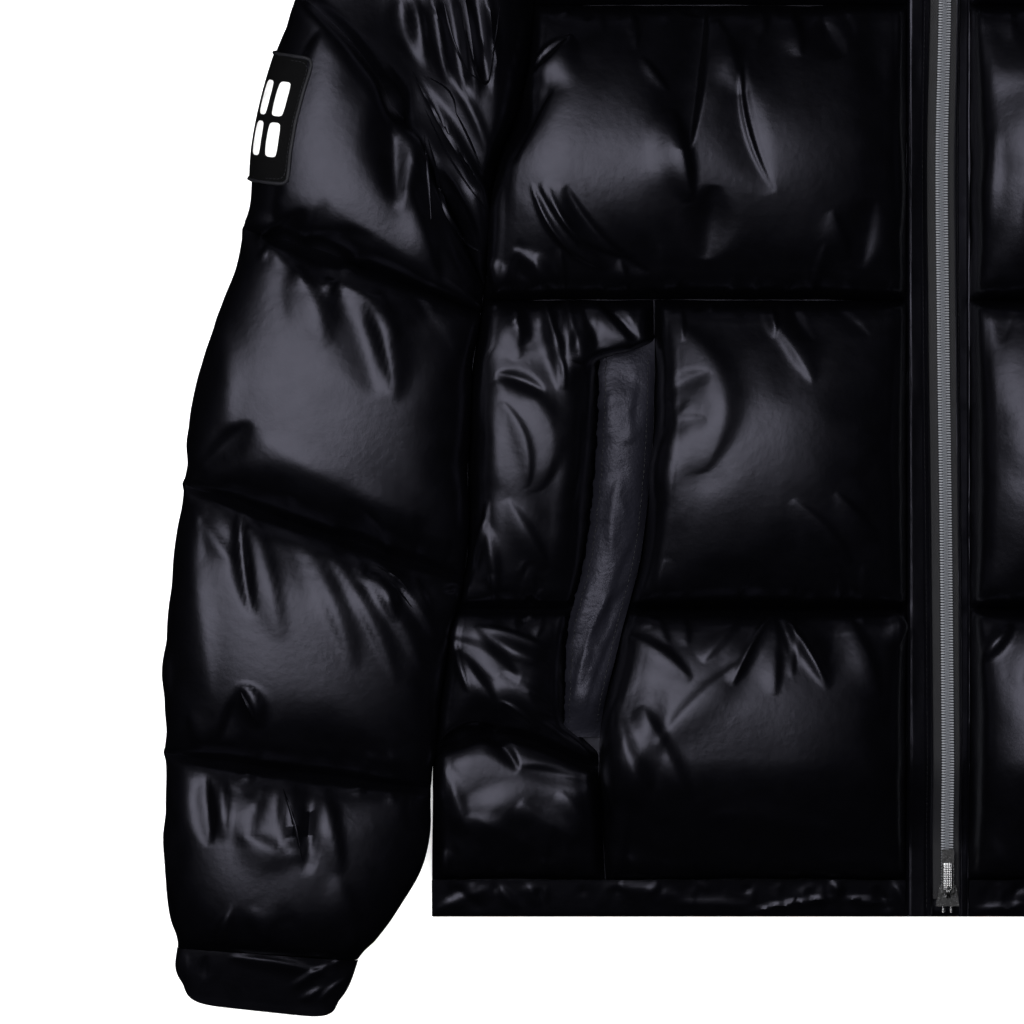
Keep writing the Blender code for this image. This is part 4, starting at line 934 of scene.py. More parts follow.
def thickSheet(name, grid, thick, finish, ridesOn="jacket"):
    # A thin sheet: the grid, a second grid at grid - thick * normal under it, and the rim between them
    rows, cols = grid.shape[:2]
    count = rows * cols
    under = grid - normals(grid, False) * thick
    rim = rimOf(rows, cols)
    ahead = np.roll(rim, -1)
    faces = [gridFaces(rows, cols), gridFaces(rows, cols, count)[:, ::-1],
             np.stack([rim, rim + count, ahead + count, ahead], axis=-1)]
    verts = np.concatenate([grid.reshape(-1, 3), under.reshape(-1, 3)])
    made = meshObject(name, verts, np.concatenate(faces))
    made.data.set_sharp_from_angle(angle=math.radians(50))
    made.data.materials.append(finish)
    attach(made, ridesOn)
    return made


def bandGrid(xInner, xOuter, v, rows, cols, height):
    # A band from xInner(v) to xOuter(v) over the heights v, at z = plane + height(x, v)
    v = np.linspace(v[0], v[1], rows)[:, None] * mm
    share = np.linspace(0, 1, cols)[None, :]
    x = mix(xInner(v), xOuter(v), share)
    grid = stack(x, v, plane(v) + height(x, v, share))
    return grid if (xOuter(v) - xInner(v)).mean() > 0 else grid[:, ::-1]


print("Trim: hem, cuffs, plackets, tapes and welts")
hemFacts = {"rows": 26, "cols": 190, "rise": 3.6, "slope": 5.5, "over": 0.42, "pleats": 46}
hemBackFacts = {"half": 299.6 * mm, "low": 0.1 * mm, "rise": 7.5 * mm, "cols": 170, "over": 0.36}
hemCreases = [
    (-299, 2, -262, 17, 5, 2, 2), (-290, 20, -270, 4, 4, -2, 0), (-262, 20, -248, 4, 3, 2, 0),
    (-244, 20, -236, 6, 3, 1.6, 0), (-122, 1, -60, 12, 2.2, 2.4, 1), (-60, 12, -29, 9, 2.2, 2.4, -1),
    (-66, 22, -58, 14, 3, 2, 0), (-30, 21, -22, 4, 3, 2.2, 2), (-40, 18, -30, 3, 3, -2, 0),
    (-200, 18, -150, 10, 5, 1.4, 2), (-160, 8, -110, 6, 4, 1.2, 1)]


def foldedEdge(around, over, radius):
    # Heights round a folded hem: down to its edge in this share of the way, round it, and up again
    turn = math.pi * np.clip((around - over) / (1 - 2 * over), 0, 1)
    down, up = np.clip(around / over, 0, 1), np.clip((around - (1 - over)) / over, 0, 1)
    seamV = bodyFacts["hemSeam"] - bodyFacts["gap"]
    return mix(seamV, radius, down) - radius * np.sin(turn) + (seamV - radius) * up, turn, down


def hemBand(side):
    f, facts = bodyFacts, hemFacts
    around = np.linspace(0, 1, facts["rows"])[:, None]
    inner = f["frontEdge"][side] + f["gap"]
    x = mix(inner, smooth(bodyEdge, 0.0), np.linspace(0, 1, facts["cols"])[None, :])
    half = facts["rise"] / 2 * mm
    v, turn, down = foldedEdge(around, facts["over"], half)
    z = f["hemPlane"] + f["gap"] + half + half * np.cos(turn)
    z = z + facts["slope"] * mm * (1 - down) ** 0.8 * (around < 0.5)
    v, x = np.broadcast_arrays(v, x)
    creases = hemCreases if side < 0 else mirrored(hemCreases, 71)
    line = [(side * a, 21) for a in np.linspace(24, 298, 9)]
    creases = creases + gathers(line, -90, facts["pleats"], 72 + side, 20, 1.1)
    top = (around < 0.5) * ease((0.5 - around) / 0.2)
    lift = creaseRise(side * x, v, creases) * ease(around / 0.06) * top
    z = np.maximum(z + lift, f["hemPlane"] + f["gap"] + np.where(around < 0.5, 1.0 * mm, 0))
    v = v + (0.5 * wander(x, 60 * mm, 73 + side) + 0.35 * wander(x, 17 * mm, 75 + side)) * mm * np.sin(turn)
    v = np.maximum(v, 0.1 * mm)
    grid = stack(side * x, v, z)
    return grid[:, ::-1] if side > 0 else grid


for side in (-1, 1):
    grid = hemBand(side)
    made = thickSheet(sideName("hem_band", side), grid, 0.5 * mm, finish=shell)
    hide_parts(sideName("hem", side))

cuffFacts = {"rows": 44, "cols": 150, "top": 17.6}
cuffCreases = [
    (-419, -23, -360, -34, 3.2, 1.6, 2), (-383, -42, -360, -28, 2.4, 2, 1), (-367, -50, -348, -35, 2.6, 2, 1),
    (-359, -28, -347, -22, 2.6, 1.6, 0), (-444, -22, -443, -39, 2.4, 1.6, 0),
    (-432, -23, -433, -37, 2, -1.4, 0), (-377, -49, -364, -41, 2.2, 1.6, 0)]


def cuffTube(side):
    # Cuff: flat oval rings from the sleeve's end to the mouth, a rounded lip, then back inside
    path = np.linspace(0, 1, cuffFacts["rows"])[:, None]
    out, back = np.clip(path / 0.62, 0, 1), np.clip((path - 0.66) / 0.34, 0, 1)
    angle = np.linspace(0, 2 * math.pi, cuffFacts["cols"] + 1)[None, :-1]
    table = np.array(cuffRows, dtype=float) * mm
    at = 2 * out - 1.3 * back
    outerX, outerV, innerX, innerV = [cubic(np.arange(3.0), table[:, i], at) for i in range(4)]
    thin = (1 - back) * 1.0 + 0.30 * back
    lip = np.clip(1 - ((path - 0.64) / 0.06) ** 2, 0, 1)
    cosine = np.sign(np.cos(angle)) * np.abs(np.cos(angle)) ** 0.75
    inset = mix(1.0, 0.93, (path > 0.64))
    share = 0.5 - 0.5 * cosine * inset
    x, v = mix(innerX, outerX, share), mix(innerV, outerV, share)
    lean = (outerX - innerX), (outerV - innerV)
    size = np.hypot(*lean)
    v = v - lip * 1.5 * mm * (lean[0] / size) + (9 * np.abs(cosine) ** 7 - 6.5) * mm * out**3 * (1 - back)
    x = x - 4 * mm * cosine ** 9 * -1 * out**4
    half = cuffFacts["top"] / 2 * mm
    creases = cuffCreases if side < 0 else mirrored(cuffCreases, 83, 6)
    folds = creaseRise(side * x, v, creases) * np.maximum(np.sin(angle), 0) ** 0.5 * (1 - back)
    wrinkle = folds + 0.35 * mm * wander(angle * 30 * mm, 34 * mm, 80) * (1 - back) * bump(path, -0.1, 0.7)
    rise = np.sign(np.sin(angle)) * np.abs(np.sin(angle)) ** 0.65
    z = half + (half - 1.3 * mm) * rise * thin + wrinkle * np.maximum(np.sin(angle), 0)
    bulge = bump(path, -0.05, 0.66) * 2.2 * mm * np.maximum(np.sin(angle), 0) ** 0.5 * (1 - back)
    slope = (2.5 - 8.5 * out) * mm * np.maximum(np.sin(angle), 0) ** 0.5
    z = np.maximum(z + bulge + slope, 0.2 * mm)
    grid = stack(side * x, v, z)
    return grid[:, ::-1] if side > 0 else grid


for side in (-1, 1):
    grid = cuffTube(side)
    made = closedSleeve(sideName("cuff_band", side), grid)
    made.data.set_sharp_from_angle(angle=math.radians(60))
    made.data.materials.append(shell)
    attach(made, "jacket")
    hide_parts(sideName("cuff", side))

placketFacts = {"thick": 1.2, "rows": 300, "cols": 24, "stitch": 0.77,
                "base": {-1: 4.4, 1: 6.2}, "slump": {-1: 2.6, 1: -1.8}}
placketRidges = ((0.91, 0.055, 1.7), (placketFacts["stitch"], 0.04, -1.0), (0.10, 0.05, -0.6))


def ridge(share, at, wide, rise):
    # A soft line along a strip: rise * exp(-((share - at) / wide)^2)
    return rise * mm * np.exp(-((share - at) / wide) ** 2)


def placketHeight(side):
    facts = placketFacts

    def height(x, v, share):
        wave = 0.5 * mm * wander(v, 120 * mm, 90 + side) + 0.16 * mm * wander(v + 0.5 * x, 19 * mm, 92 + side)
        ridges = sum(ridge(share, *row) for row in placketRidges)
        level = (facts["base"][side] + facts["slump"][side] * (1 - share)) * mm
        return level + wave * bump(share, 0, 0.9) + ridges
    return height


for side in (-1, 1):
    outer = bodyFacts["frontEdge"][side] - bodyFacts["gap"]
    inner = bodyFacts["placketEdge"][side] - bodyFacts["gap"]
    grid = bandGrid(lambda v: side * outer + 0 * v, lambda v: side * inner + smooth(zipMiddle, v),
                    (0.4, 696.6), placketFacts["rows"], placketFacts["cols"], placketHeight(side))
    made = thickSheet(sideName("placket_strip", side), grid, placketFacts["thick"] * mm, finish=shell)
    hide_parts(sideName("placket", side))


def sampleGrid(grid, rowAt, colAt):
    # Points between a grid's own: bilinear, rowAt and colAt from 0 to 1
    r = np.clip(rowAt, 0, 1) * (grid.shape[0] - 1)
    c = np.clip(colAt, 0, 1) * (grid.shape[1] - 1)
    r0 = np.minimum(r.astype(int), grid.shape[0] - 2)
    c0 = np.minimum(c.astype(int), grid.shape[1] - 2)
    fr, fc = (r - r0)[..., None], (c - c0)[..., None]
    near, far = mix(grid[r0, c0], grid[r0, c0 + 1], fc), mix(grid[r0 + 1, c0], grid[r0 + 1, c0 + 1], fc)
    return near * (1 - fr) + far * fr


def tubeAlong(name, path, up, radius, finish, sides=8):
    # A round edge carried round a closed path: p + radius (cos a * side + sin a * up)
    ahead = np.roll(path, -1, axis=0) - np.roll(path, 1, axis=0)
    ahead /= np.linalg.norm(ahead, axis=-1, keepdims=True)
    side = np.cross(ahead, up)
    side /= np.linalg.norm(side, axis=-1, keepdims=True)
    turn = np.linspace(0, 2 * math.pi, sides + 1)[:-1][None, :, None]
    out = np.cos(turn) * side[:, None] + np.sin(turn) * np.cross(side, ahead)[:, None]
    faces = gridFaces(len(path) + 1, sides, 0, True) % (len(path) * sides)
    made = meshObject(name, path[:, None] + radius * out, faces[:, ::-1])
    made.data.materials.append(finish)
    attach(made, "jacket")
    return made


def stitchRow(name, path, up, finish, pitch, length, radius):
    # Sewing thread: small capsules laid end to end on a path, half sunk in the cloth
    gaps = np.linalg.norm(np.diff(path, axis=0), axis=1)
    along = np.concatenate([[0], np.cumsum(gaps)])
    at = np.arange(pitch * mm, along[-1] - pitch * mm, pitch * mm)
    point = np.stack([np.interp(at, along, path[:, i]) for i in range(3)], axis=-1)
    later = np.stack([np.interp(at + 0.5 * mm, along, path[:, i]) for i in range(3)], axis=-1)
    lift = np.stack([np.interp(at, along, up[:, i]) for i in range(3)], axis=-1)
    ahead = (later - point) / np.linalg.norm(later - point, axis=-1, keepdims=True)
    side = np.cross(ahead, lift)
    side /= np.linalg.norm(side, axis=-1, keepdims=True)
    lift = np.cross(side, ahead)
    stations = np.array([(-0.5, 0.25), (-0.38, 0.85), (0.38, 0.85), (0.5, 0.25)])
    turn = np.linspace(0, 2 * math.pi, 6)[:-1]
    s, r = stations[:, 0] * length * mm, stations[:, 1] * radius * mm
    own = (point[:, None, None] + ahead[:, None, None] * s[None, :, None, None]
           + side[:, None, None] * (r[:, None] * np.cos(turn))[None, :, :, None]
           + lift[:, None, None] * (r[:, None] * np.sin(turn))[None, :, :, None])
    offsets = np.arange(len(at))[:, None, None] * 20
    faces = (gridFaces(4, 5, 0, True)[None, :, ::-1] + offsets).reshape(-1, 4).tolist()
    for ring, flip in ((np.arange(5), 1), (np.arange(15, 20), -1)):
        faces += (ring[None, ::flip] + offsets[:, 0]).tolist()
    made = meshObject(name, own, faces)
    made.data.materials.append(finish)
    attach(made, "jacket")
    return made


print("Patch: cloth, edge and mark")
patch = thickSheet("patch_cloth", patchGrid, patchFacts["thick"] * mm, finish=badge)
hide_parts("sleeve_patch")
out = normals(patchGrid, False)


def patchLoop(inset):
    # A line round the patch, inset from its edge, with rounded corners
    turn = np.linspace(0, 2 * math.pi, 181)[:-1]
    reach = 1 - 2 * inset
    power = 0.22
    rowAt = 0.5 + 0.5 * reach * np.sign(np.sin(turn)) * np.abs(np.sin(turn)) ** power
    colAt = 0.5 + 0.5 * (1 - 3.2 * inset) * np.sign(np.cos(turn)) * np.abs(np.cos(turn)) ** power
    return rowAt, colAt


rowAt, colAt = patchLoop(0.012)
edge = sampleGrid(patchGrid, rowAt, colAt)
made = tubeAlong("patch_edge", edge, sampleGrid(out, rowAt, colAt), 1.15 * mm, rimThread)
rowAt, colAt = patchLoop(0.045)
line = sampleGrid(patchGrid, rowAt, colAt)
up = sampleGrid(out, rowAt, colAt)
made = stitchRow("patch_stitches", np.concatenate([line, line[:1]]), np.concatenate([up, up[:1]]), rimThread,
                 pitch=2.6, length=1.9, radius=0.24)
markFacts = {"rows": ((0.21, 0.475), (0.525, 0.79)), "cols": ((0.20, 0.34), (0.42, 0.56)), "proud": 0.55}
for rowNumber, (r0, r1) in enumerate(markFacts["rows"]):
    for colNumber, (c0, c1) in enumerate(markFacts["cols"]):
        a = np.linspace(-1, 1, 22)[:, None]
        b = np.linspace(-1, 1, 14)[None, :]
        rowAt = (r0 + r1) / 2 + (r1 - r0) / 2 * a * (1 - 0.10 * b**4)
        colAt = (c0 + c1) / 2 + (c1 - c0) / 2 * b * (1 - 0.16 * a**4)
        dome = np.sqrt(np.maximum(1 - np.abs(a) ** 8, 0)) * np.sqrt(np.maximum(1 - np.abs(b) ** 6, 0))
        up = sampleGrid(out, rowAt, colAt)
        grid = sampleGrid(patchGrid, rowAt, colAt) + up * (0.1 + markFacts["proud"] * dome[..., None]) * mm
        made = thickSheet(f"patch_bar_{rowNumber}{colNumber}", grid, 0.4 * mm, finish=chalk)

tapeFacts = {"rows": 200, "cols": 9, "thick": 0.8, "top": 3.55, "inner": 3.9 * mm, "cord": (0.97, 0.05, 0.25)}


def tapeHeight(x, v, share):
    # The tape is flat, with a small cord at its inner edge
    return tapeFacts["top"] * mm + ridge(share, *tapeFacts["cord"]) + 0 * x


for side in (-1, 1):
    outer, toward = bodyFacts["frontEdge"][side] - bodyFacts["gap"], tapeFacts["inner"]
    grid = bandGrid(lambda v: side * outer + 0 * v, lambda v: side * toward + smooth(zipMiddle, v),
                    (10.4, 688.8), tapeFacts["rows"], tapeFacts["cols"],
                    tapeHeight)
    made = thickSheet(sideName("zip_band", side), grid, tapeFacts["thick"] * mm, finish=tape)
    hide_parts(sideName("zip_tape", side))

teethFacts = {"pitch": 1.6, "start": 12.5, "stop": 687, "top": 5.0, "bottom": 1.7}


def zipTeeth():
    # Teeth of a moulded zip: hexagon bars from each tape past the middle, narrower where they mesh
    facts = teethFacts
    stations = np.array([(-3.7, 0.40, 0.5), (-3.3, 0.66, 0.95), (-1.2, 0.66, 1.0), (-0.7, 0.40, 0.95),
                         (0.8, 0.40, 0.85), (1.15, 0.22, 0.4)])
    turn = np.linspace(0, 2 * math.pi, 7)[:-1] + math.pi / 6
    middleZ, halfZ = (facts["top"] + facts["bottom"]) / 2, (facts["top"] - facts["bottom"]) / 2
    x = np.repeat(stations[:, 0], 6).reshape(-1, 6)
    v = stations[:, 1:2] * np.cos(turn)[None, :]
    z = middleZ + halfZ * stations[:, 2:3] * np.sin(turn)[None, :]
    tooth = np.stack([x, v, z], axis=-1)
    count = int((facts["stop"] - facts["start"]) / facts["pitch"])
    at = facts["start"] + np.arange(count) * facts["pitch"]
    verts, faces, start = [], [], 0
    ringFaces = gridFaces(6, 6, 0, True)
    for side, shift in ((-1, 0.0), (1, facts["pitch"] / 2)):
        shape = tooth * (1 if side < 0 else -1, 1, 1)
        rows = np.broadcast_to(shape, (count,) + shape.shape).copy()
        place = (at + shift)[:, None, None]
        rows[..., 1] += place
        rows[..., 0] += smooth(zipMiddle, place * mm) / mm
        rows[..., 2] += plane(place * mm) / mm
        rows[..., 1] -= bodyFacts["middle"] / mm
        offsets = start + np.arange(count) * 36
        own = ringFaces if side < 0 else ringFaces[:, ::-1]
        faces += (own[None] + offsets[:, None, None]).reshape(-1, 4).tolist()
        for ring, flip in ((np.arange(6), side < 0), (np.arange(30, 36), side > 0)):
            ring = ring[::-1] if flip else ring
            faces += (ring[None] + offsets[:, None]).tolist()
        verts.append(rows.reshape(-1, 3) * mm)
        start += count * 36
    return np.concatenate(verts), faces


verts, faces = zipTeeth()
teeth = meshObject("zip_teeth", verts, faces)
teeth.data.set_sharp_from_angle(angle=math.radians(70))
teeth.data.materials.append(chain)
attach(teeth, "jacket")
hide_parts("zip_chain")

weltFacts = {"low": 106, "high": 339, "rows": 150, "cols": 26, "thick": 2.6, "rise": 8, "lift": 4,
             "base": 5.5, "wave": 2.2}
weltCreases = [
    (-218, 125, -196, 191, 3, 2.8, 3), (-211, 116, -183, 188, 3.4, -2.6, 2),
    (-203, 121, -177, 184, 3, 2.6, 1), (-222, 151, -207, 198, 2.6, 2, 1),
    (-199, 163, -175, 233, 4, -1.8, 3), (-195, 209, -189, 262, 5, 1.8, 3),
    (-182, 285, -178, 315, 4, -1.6, 0), (-198, 280, -195, 309, 4, 1.6, 2), (-225, 118, -222, 151, 2.4, 2, 0),
    (-214, 152, -183, 198, 7, -3.6, 0), (-206, 322, -168, 306, 11, -5, 0, 1, 1),
    (-203, 300, -172, 296, 6, -1.6, 0)]


def weltBand(side):
    # Pocket welt: a soft folded band, z = base + rise * (1 - |2 share - 1|^2.4) and its small creases
    facts = weltFacts
    v = np.linspace(facts["low"], facts["high"], facts["rows"])[:, None] * mm
    share = np.linspace(0, 1, facts["cols"])[None, :]
    narrow = weltWidth(v)
    ragged = (0.5 * wander(v, 16 * mm, 130 + side) + 0.3 * wander(v, 5 * mm, 131 + side)) * mm
    inner = smooth(pocketEdge, v)
    x = mix(inner + narrow + ragged, inner, share)
    crown = 1 - np.abs(2 * share - 1) ** 2.4
    ends = ease((v - facts["low"] * mm) / (26 * mm)) * ease((facts["high"] * mm - v) / (34 * mm))
    base = (facts["base"] + facts["lift"] * ends + 0.6 * facts["thick"]) * mm
    z = plane(v) + base + facts["rise"] * mm * crown * mix(0.15, 1, ends)
    lowPart = (v < 200 * mm) * ease((200 * mm - v) / (60 * mm))
    z = z + facts["wave"] * mm * np.cos(v / (17 * mm)) * crown * ends * lowPart
    creases = weltCreases if side < 0 else mirrored(weltCreases, 133, 5)
    line = [(side * float(smooth(pocketEdge, a * mm) / mm + 16), a) for a in (110, 160, 220, 300, 345)]
    creases = creases + gathers(line, -70 if side < 0 else -110, 34, 134 + side, 24, 0.7)
    z = z + creaseRise(side * x, v, creases) * bump(share, -0.05, 1.05) * bump(v, 0.102, 0.356)
    grid = stack(side * x, v, z)
    return grid[:, ::-1] if side > 0 else grid


for side in (-1, 1):
    made = thickSheet(sideName("pocket_band", side), weltBand(side), weltFacts["thick"] * mm, finish=brushed)
    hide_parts(sideName("pocket_welt", side))

gripFacts = {"alongPull": 9.5 * mm, "half": (2.9 * mm, 8.6 * mm), "top": 0.55 * mm, "under": 0.35 * mm,
             "skin": 0.15 * mm, "clear": 0.02}


def gripPad(name, x, y, z, half, thick, body):
    # Raised grip on a zip pull: a pillow with crossed ridges, z + thick (1 - a^6) (1 - b^6) (ridges)
    a = np.linspace(-1, 1, 64)[:, None]
    b = np.linspace(-1, 1, 28)[None, :]
    edge = (1 - a**6) * (1 - b**6)
    cross = 0.5 + 0.5 * np.cos(26 * a + 9 * b) * np.cos(26 * a - 9 * b)
    px = x + half[0] * b * (1 - 0.10 * np.abs(a) ** 5) + 0 * a
    py = y + half[1] * a * (1 - 0.06 * np.abs(b) ** 5) + 0 * b
    pz = z + np.sign(thick) * gripFacts["clear"] * mm + thick * edge**0.5 * (0.55 + 0.45 * cross)
    grid = np.stack(np.broadcast_arrays(px, py, pz), axis=-1)
    if thick < 0:
        grid = grid[:, ::-1]
    made = thickSheet(name, grid, gripFacts["skin"], finish=steel, ridesOn=body)
    return made


for body, node in (("bottom_pull", "pull_bottom"), ("top_pull", "pull_top")):
    low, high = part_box(node)
    middle = (low.x + high.x) / 2
    gripY = low.y + gripFacts["alongPull"]
    gripPad(body + "_grip", middle, gripY, high.z, gripFacts["half"], gripFacts["top"], body)
    gripPad(body + "_grip_under", middle, gripY, low.z, gripFacts["half"], -gripFacts["under"], body)

print("Thread: placket and welt stitches")
for side in (-1, 1):
    v = np.linspace(3, 694, 900) * mm
    outer = bodyFacts["frontEdge"][side] - bodyFacts["gap"]
    inner = bodyFacts["placketEdge"][side] - bodyFacts["gap"]
    share = placketFacts["stitch"]
    x = mix(side * outer, side * inner + smooth(zipMiddle, v), share)
    z = plane(v) + placketHeight(side)(x, v, share) + 0.05 * mm
    up = np.broadcast_to(np.array([0.0, 0.0, 1.0]), (len(v), 3))
    made = stitchRow(sideName("placket_stitches", side), stack(x, v, z), up, thread,
                     pitch=3.2, length=2.3, radius=0.3)
    welt = weltBand(side)
    column = 3 if side > 0 else welt.shape[1] - 4
    for number, col in enumerate((column, welt.shape[1] - 1 - column)):
        edge = welt[4:-4, col]
        made = stitchRow(sideName(f"welt_stitches_{number}", side), edge, normals(welt, False)[4:-4, col],
                         thread, pitch=3.4, length=2.5, radius=0.3)

print("Back: hem, body and collar")
backFacts = {"groove": 7, "rows": 176, "cols": 156, "under": 6, "rim": 34 * mm, "pleats": 40}


def backPanel():
    # Underside of the back: z = groove where it is sewn, 0 where a baffle rests, and rounded up at its edge
    f, facts = bodyFacts, backFacts
    neckX, neckV = f["neck"]
    shoulderX, shoulderV = f["shoulder"]
    seams = [f["hemSeam"], f["lowSeam"], f["midSeam"], f["yokeSeam"]]
    share = np.linspace(-1, 1, facts["cols"])[None, :]
    w = np.linspace(0, 1, facts["rows"])[:, None]
    edgeV = mix(f["hemSeam"], shoulderV, w)
    across = np.abs(share) * shoulderX
    top = np.where(across > neckX, mix(neckV, shoulderV, (across - neckX) / (shoulderX - neckX)),
                   neckV - f["backNeckDrop"] * (1 - (across / neckX) ** 2) - f["gap"])
    v = edgeV + (top - shoulderV) * ease((edgeV - f["yokeSeam"]) / (shoulderV - f["yokeSeam"]))
    besideSleeve = ease((edgeV - 0.11) / 0.05) * ease((0.42 - edgeV) / 0.06)
    edge = smooth(bodyEdge, edgeV) + facts["under"] * mm * besideSleeve
    x = share * edge
    loft = np.ones(v.shape)
    for low, high in zip(seams, seams[1:] + [9.0]):
        inside = (edgeV >= low) & (edgeV <= high)
        loft = np.where(inside, arc(np.minimum(edgeV - low, high - edgeV), 24 * mm), loft)
    loft = np.minimum(loft, arc(np.maximum(top - v, 0), 30 * mm))
    side = arc(edge - np.abs(x), facts["rim"])
    rise = np.where(edgeV > 100 * mm, facts["groove"], 4) * mm
    z = (1 - loft) * rise + (1 - side) * np.where(edgeV < 60 * mm, 6, 13) * mm * loft
    line = [[(a, s / mm) for a in range(-250, 251, 25)] for s in seams]
    creases = []
    for number, row in enumerate(line):
        for away, key in ((90, 151), (-90, 161)):
            creases += gathers(row, away, facts["pleats"], key + number, 42, 1.8)
    lift = creaseRise(x, v, creases) * loft * side
    z = z + np.abs(lift) + 0.6 * mm * (1 + wander(x + v, 70 * mm, 152)) * loft
    z = np.clip(z, 0.05 * mm, plane(v) - 1 * mm)
    return stack(x, v, z)[:, ::-1]


def backCollar():
    f = bodyFacts
    share = np.linspace(-1, 1, 96)[None, :]
    w = np.linspace(0, 1, 44)[:, None]
    foot = f["neck"][1] - f["backNeckDrop"] * (1 - share**2)
    head = f["neck"][1] + f["collarHeight"] - f["collarBackDip"] * (1 - share**2)
    v = mix(foot + f["gap"], head, w)
    x = share * mix(f["neck"][0], f["collarTopHalf"], w)
    loft = corner(bump(w, 0, 1), arc((1 - np.abs(share)) * f["neck"][0], 16 * mm))
    z = 11 * mm * (1 - loft) + 0.4 * mm * (1 + wander(x * 1.3 + v, 30 * mm, 170)) * loft
    return stack(x, v, np.clip(z, 0.05 * mm, None))[:, ::-1]


for node, grid in (("back", backPanel()), ("collar_back", backCollar())):
    made = closedPanel(node + "_cloth", grid, -0.15 * mm)
    made.data.set_sharp_from_angle(angle=sharpFold)
    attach(made, "jacket")
    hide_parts(node)
    pieces[node] = made

liningFacts = {"half": 90, "rise": 5.5, "channels": 3, "channel": 27.3, "loop": (30, 5.0, 3.0)}


def collarLining():
    # Inside of the back collar, between the front collar's top and its own: z = base + rise * channels' bows
    f, facts = bodyFacts, liningFacts
    x = np.linspace(-1, 1, 130)[None, :] * facts["half"] * mm
    low = frontneck(np.abs(x) * f["neck"][0] / f["collarTopHalf"]) + f["collarHeight"] + 1.5 * mm
    head = f["neck"][1] + f["collarHeight"] - f["collarBackDip"] * (1 - (x / f["neck"][0]) ** 2) - 1.5 * mm
    low = np.minimum(low, head - 3 * mm)
    w = np.linspace(0, 1, 58)[:, None]
    v = mix(low, head, w)
    wave = np.sin(math.pi * facts["channels"] * np.clip((head - v) / (82 * mm), 0, 1))
    wave = (np.sqrt(wave**2 + 0.04) - 0.2) / 0.82
    edge = arc(np.minimum(v - low, head - v), 7 * mm) * arc(facts["half"] * mm - np.abs(x), 12 * mm)
    crown = (f["neck"][1] + f["collarHeight"] - f["collarBackDip"]) / mm
    line = [[(a, crown - facts["channel"] * k) for a in range(-80, 81, 10)] for k in (1, 2)]
    creases = sum([gathers(row, turn, 14, 300 + n + turn, 24, 0.8)
                   for n, row in enumerate(line) for turn in (90, -90)], [])
    z = f["bodyPlane"] + 0.6 * mm + facts["rise"] * mm * edge * (0.35 + 0.65 * wave)
    z = z + creaseRise(x + 0 * v, v, creases) * edge
    return stack(x, v, np.maximum(z, f["bodyPlane"] + 0.4 * mm))


lining = thickSheet("collar_lining", collarLining(), 0.3 * mm, finish=shell)


def hangerLoop():
    # Loop to hang the jacket by: a tape across the collar's inside, bowed down and out in its middle
    half, width, bow = liningFacts["loop"]
    share = np.linspace(-1, 1, 90)[:, None]
    across = np.linspace(-1, 1, 9)[None, :]
    arch = 1 - share**2
    head = bodyFacts["neck"][1] + bodyFacts["collarHeight"] - bodyFacts["collarBackDip"]
    v = head - (7 + bow * arch) * mm + width * mm * across * mix(0.6, 1, ease(arch * 2))
    z = bodyFacts["bodyPlane"] + (6.6 + 3.2 * arch**0.5 + 0.4 * (1 - across**2)) * mm
    return stack(half * mm * share, v, z)


loop = thickSheet("hanger_loop", hangerLoop(), 0.7 * mm, finish=tape)


def foldedHem():
    # Back hem: a flat fold, its bottom edge turned round, z from low to low + rise
    facts = hemBackFacts
    around = np.linspace(0, 1, hemFacts["rows"])[:, None]
    x = mix(-facts["half"], facts["half"], np.linspace(0, 1, facts["cols"])[None, :])
    radius = facts["rise"] / 2
    v, turn, down = foldedEdge(around, facts["over"], radius)
    ripple = 0.5 * mm * (1 + wander(x, 24 * mm, 180)) * (around > 0.5) * ease((around - 0.6) / 0.1)
    return stack(x, v, facts["low"] + radius + radius * np.cos(turn) + ripple)


made = thickSheet("hem_back_band", foldedHem(), 0.5 * mm, finish=shell)
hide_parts("hem_back")

for made in pieces.values():
    made.data.materials.append(shell)
for name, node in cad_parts.items():
    isMetal = name.startswith(("slider", "pull", "zip_pin"))
    finish = steel if isMetal else badge if name == "sleeve_patch" else shell
    if not node.data.materials:
        node.data.materials.append(finish)
    for slotNumber in range(len(node.data.materials)):
        node.data.materials[slotNumber] = finish

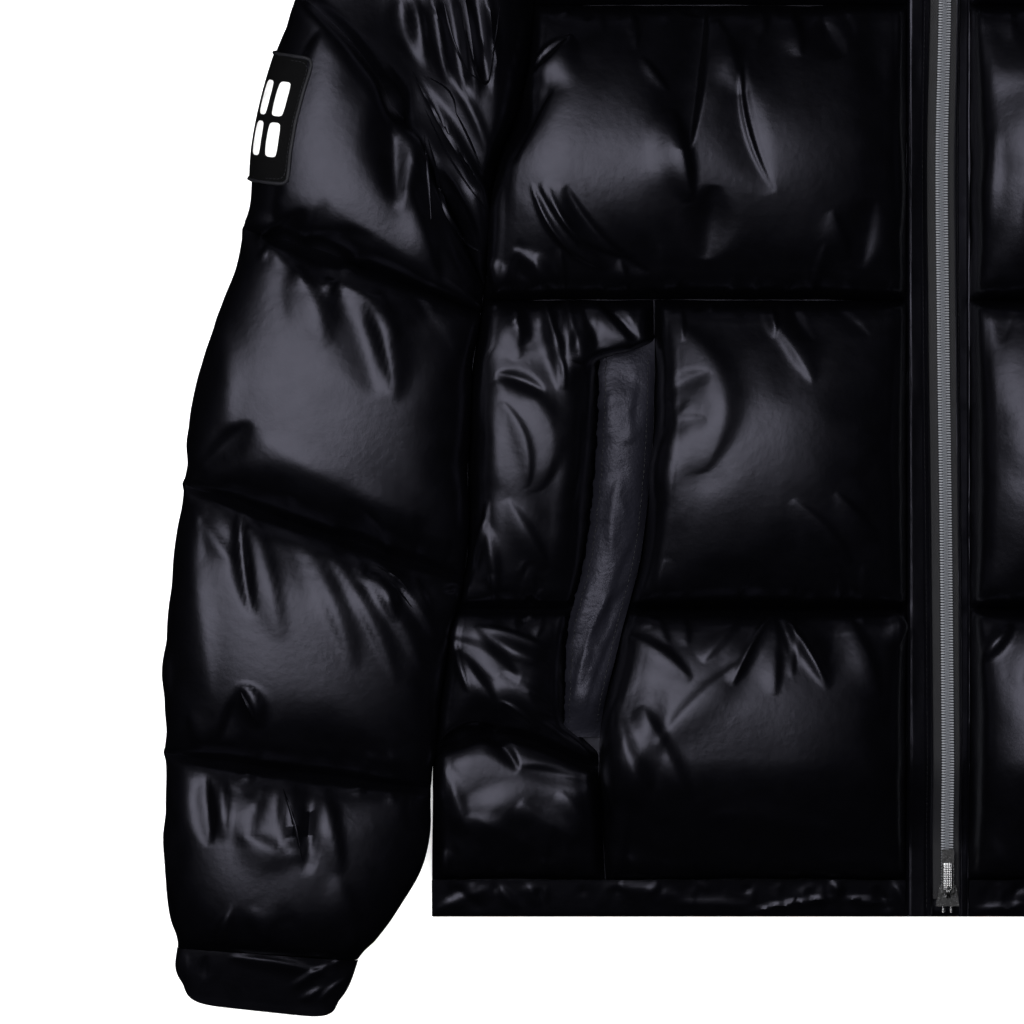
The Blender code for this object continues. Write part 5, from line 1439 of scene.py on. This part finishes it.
# Floor, light and camera
stage = {"floor": 14.0, "floorLevel": -0.0005, "white": 0.9, "glow": 0.5, "light": 15, "lightSize": 1.1,
         "lightPlace": (-0.7, 0.3, 1.5), "world": 0.0015, "fill": 130, "fillSize": 2.5, "fillHeight": 2.4,
         "aim": (-0.253, -0.1285, 0.025), "height": 4.0, "view": 0.599}
aim = Vector(stage["aim"])


def areaLight(name, power, size, place):
    lamp = bpy.data.lights.new(name, "AREA")
    lamp.energy = power
    lamp.size = size
    made = bpy.data.objects.new(name, lamp)
    bpy.context.scene.collection.objects.link(made)
    made.location = place
    made.visible_camera = False
    return made


corners = [(-1, -1), (1, -1), (1, 1), (-1, 1)]
ground = np.array([(x * stage["floor"], y * stage["floor"], stage["floorLevel"]) for x, y in corners])
floor = meshObject("floor", ground, np.array([[0, 1, 2, 3]]))
white = bpy.data.materials.new("floorWhite")
white.use_nodes = True
paint = white.node_tree.nodes["Principled BSDF"].inputs
paint["Base Color"].default_value = (stage["white"], stage["white"], stage["white"], 1)
paint["Roughness"].default_value = 0.9
paint["Emission Color"].default_value = (1, 1, 1, 1)
paint["Emission Strength"].default_value = stage["glow"]
floor.data.materials.append(white)
floor.visible_glossy = False
softbox = areaLight("softbox", stage["light"], stage["lightSize"], stage["lightPlace"])
softbox.rotation_euler = (aim - softbox.location).to_track_quat("-Z", "Y").to_euler()
fill = areaLight("fill", stage["fill"], stage["fillSize"], (aim.x, aim.y, stage["fillHeight"]))
fill.visible_glossy = False
world = bpy.data.worlds.new("studio")
world.use_nodes = True
sky = world.node_tree.nodes["Background"].inputs
sky["Color"].default_value = (1, 1, 1, 1)
sky["Strength"].default_value = stage["world"]
bpy.context.scene.world = world
bpy.context.scene.view_settings.view_transform = "Standard"
camera = bpy.data.cameras.new("camera")
camera.type = "PERSP"
camera.lens = camera.sensor_width * (stage["height"] - aim.z) / stage["view"]
cameraObject = bpy.data.objects.new("camera", camera)
bpy.context.scene.collection.objects.link(cameraObject)
cameraObject.location = (aim.x, aim.y, stage["height"])
bpy.context.scene.camera = cameraObject
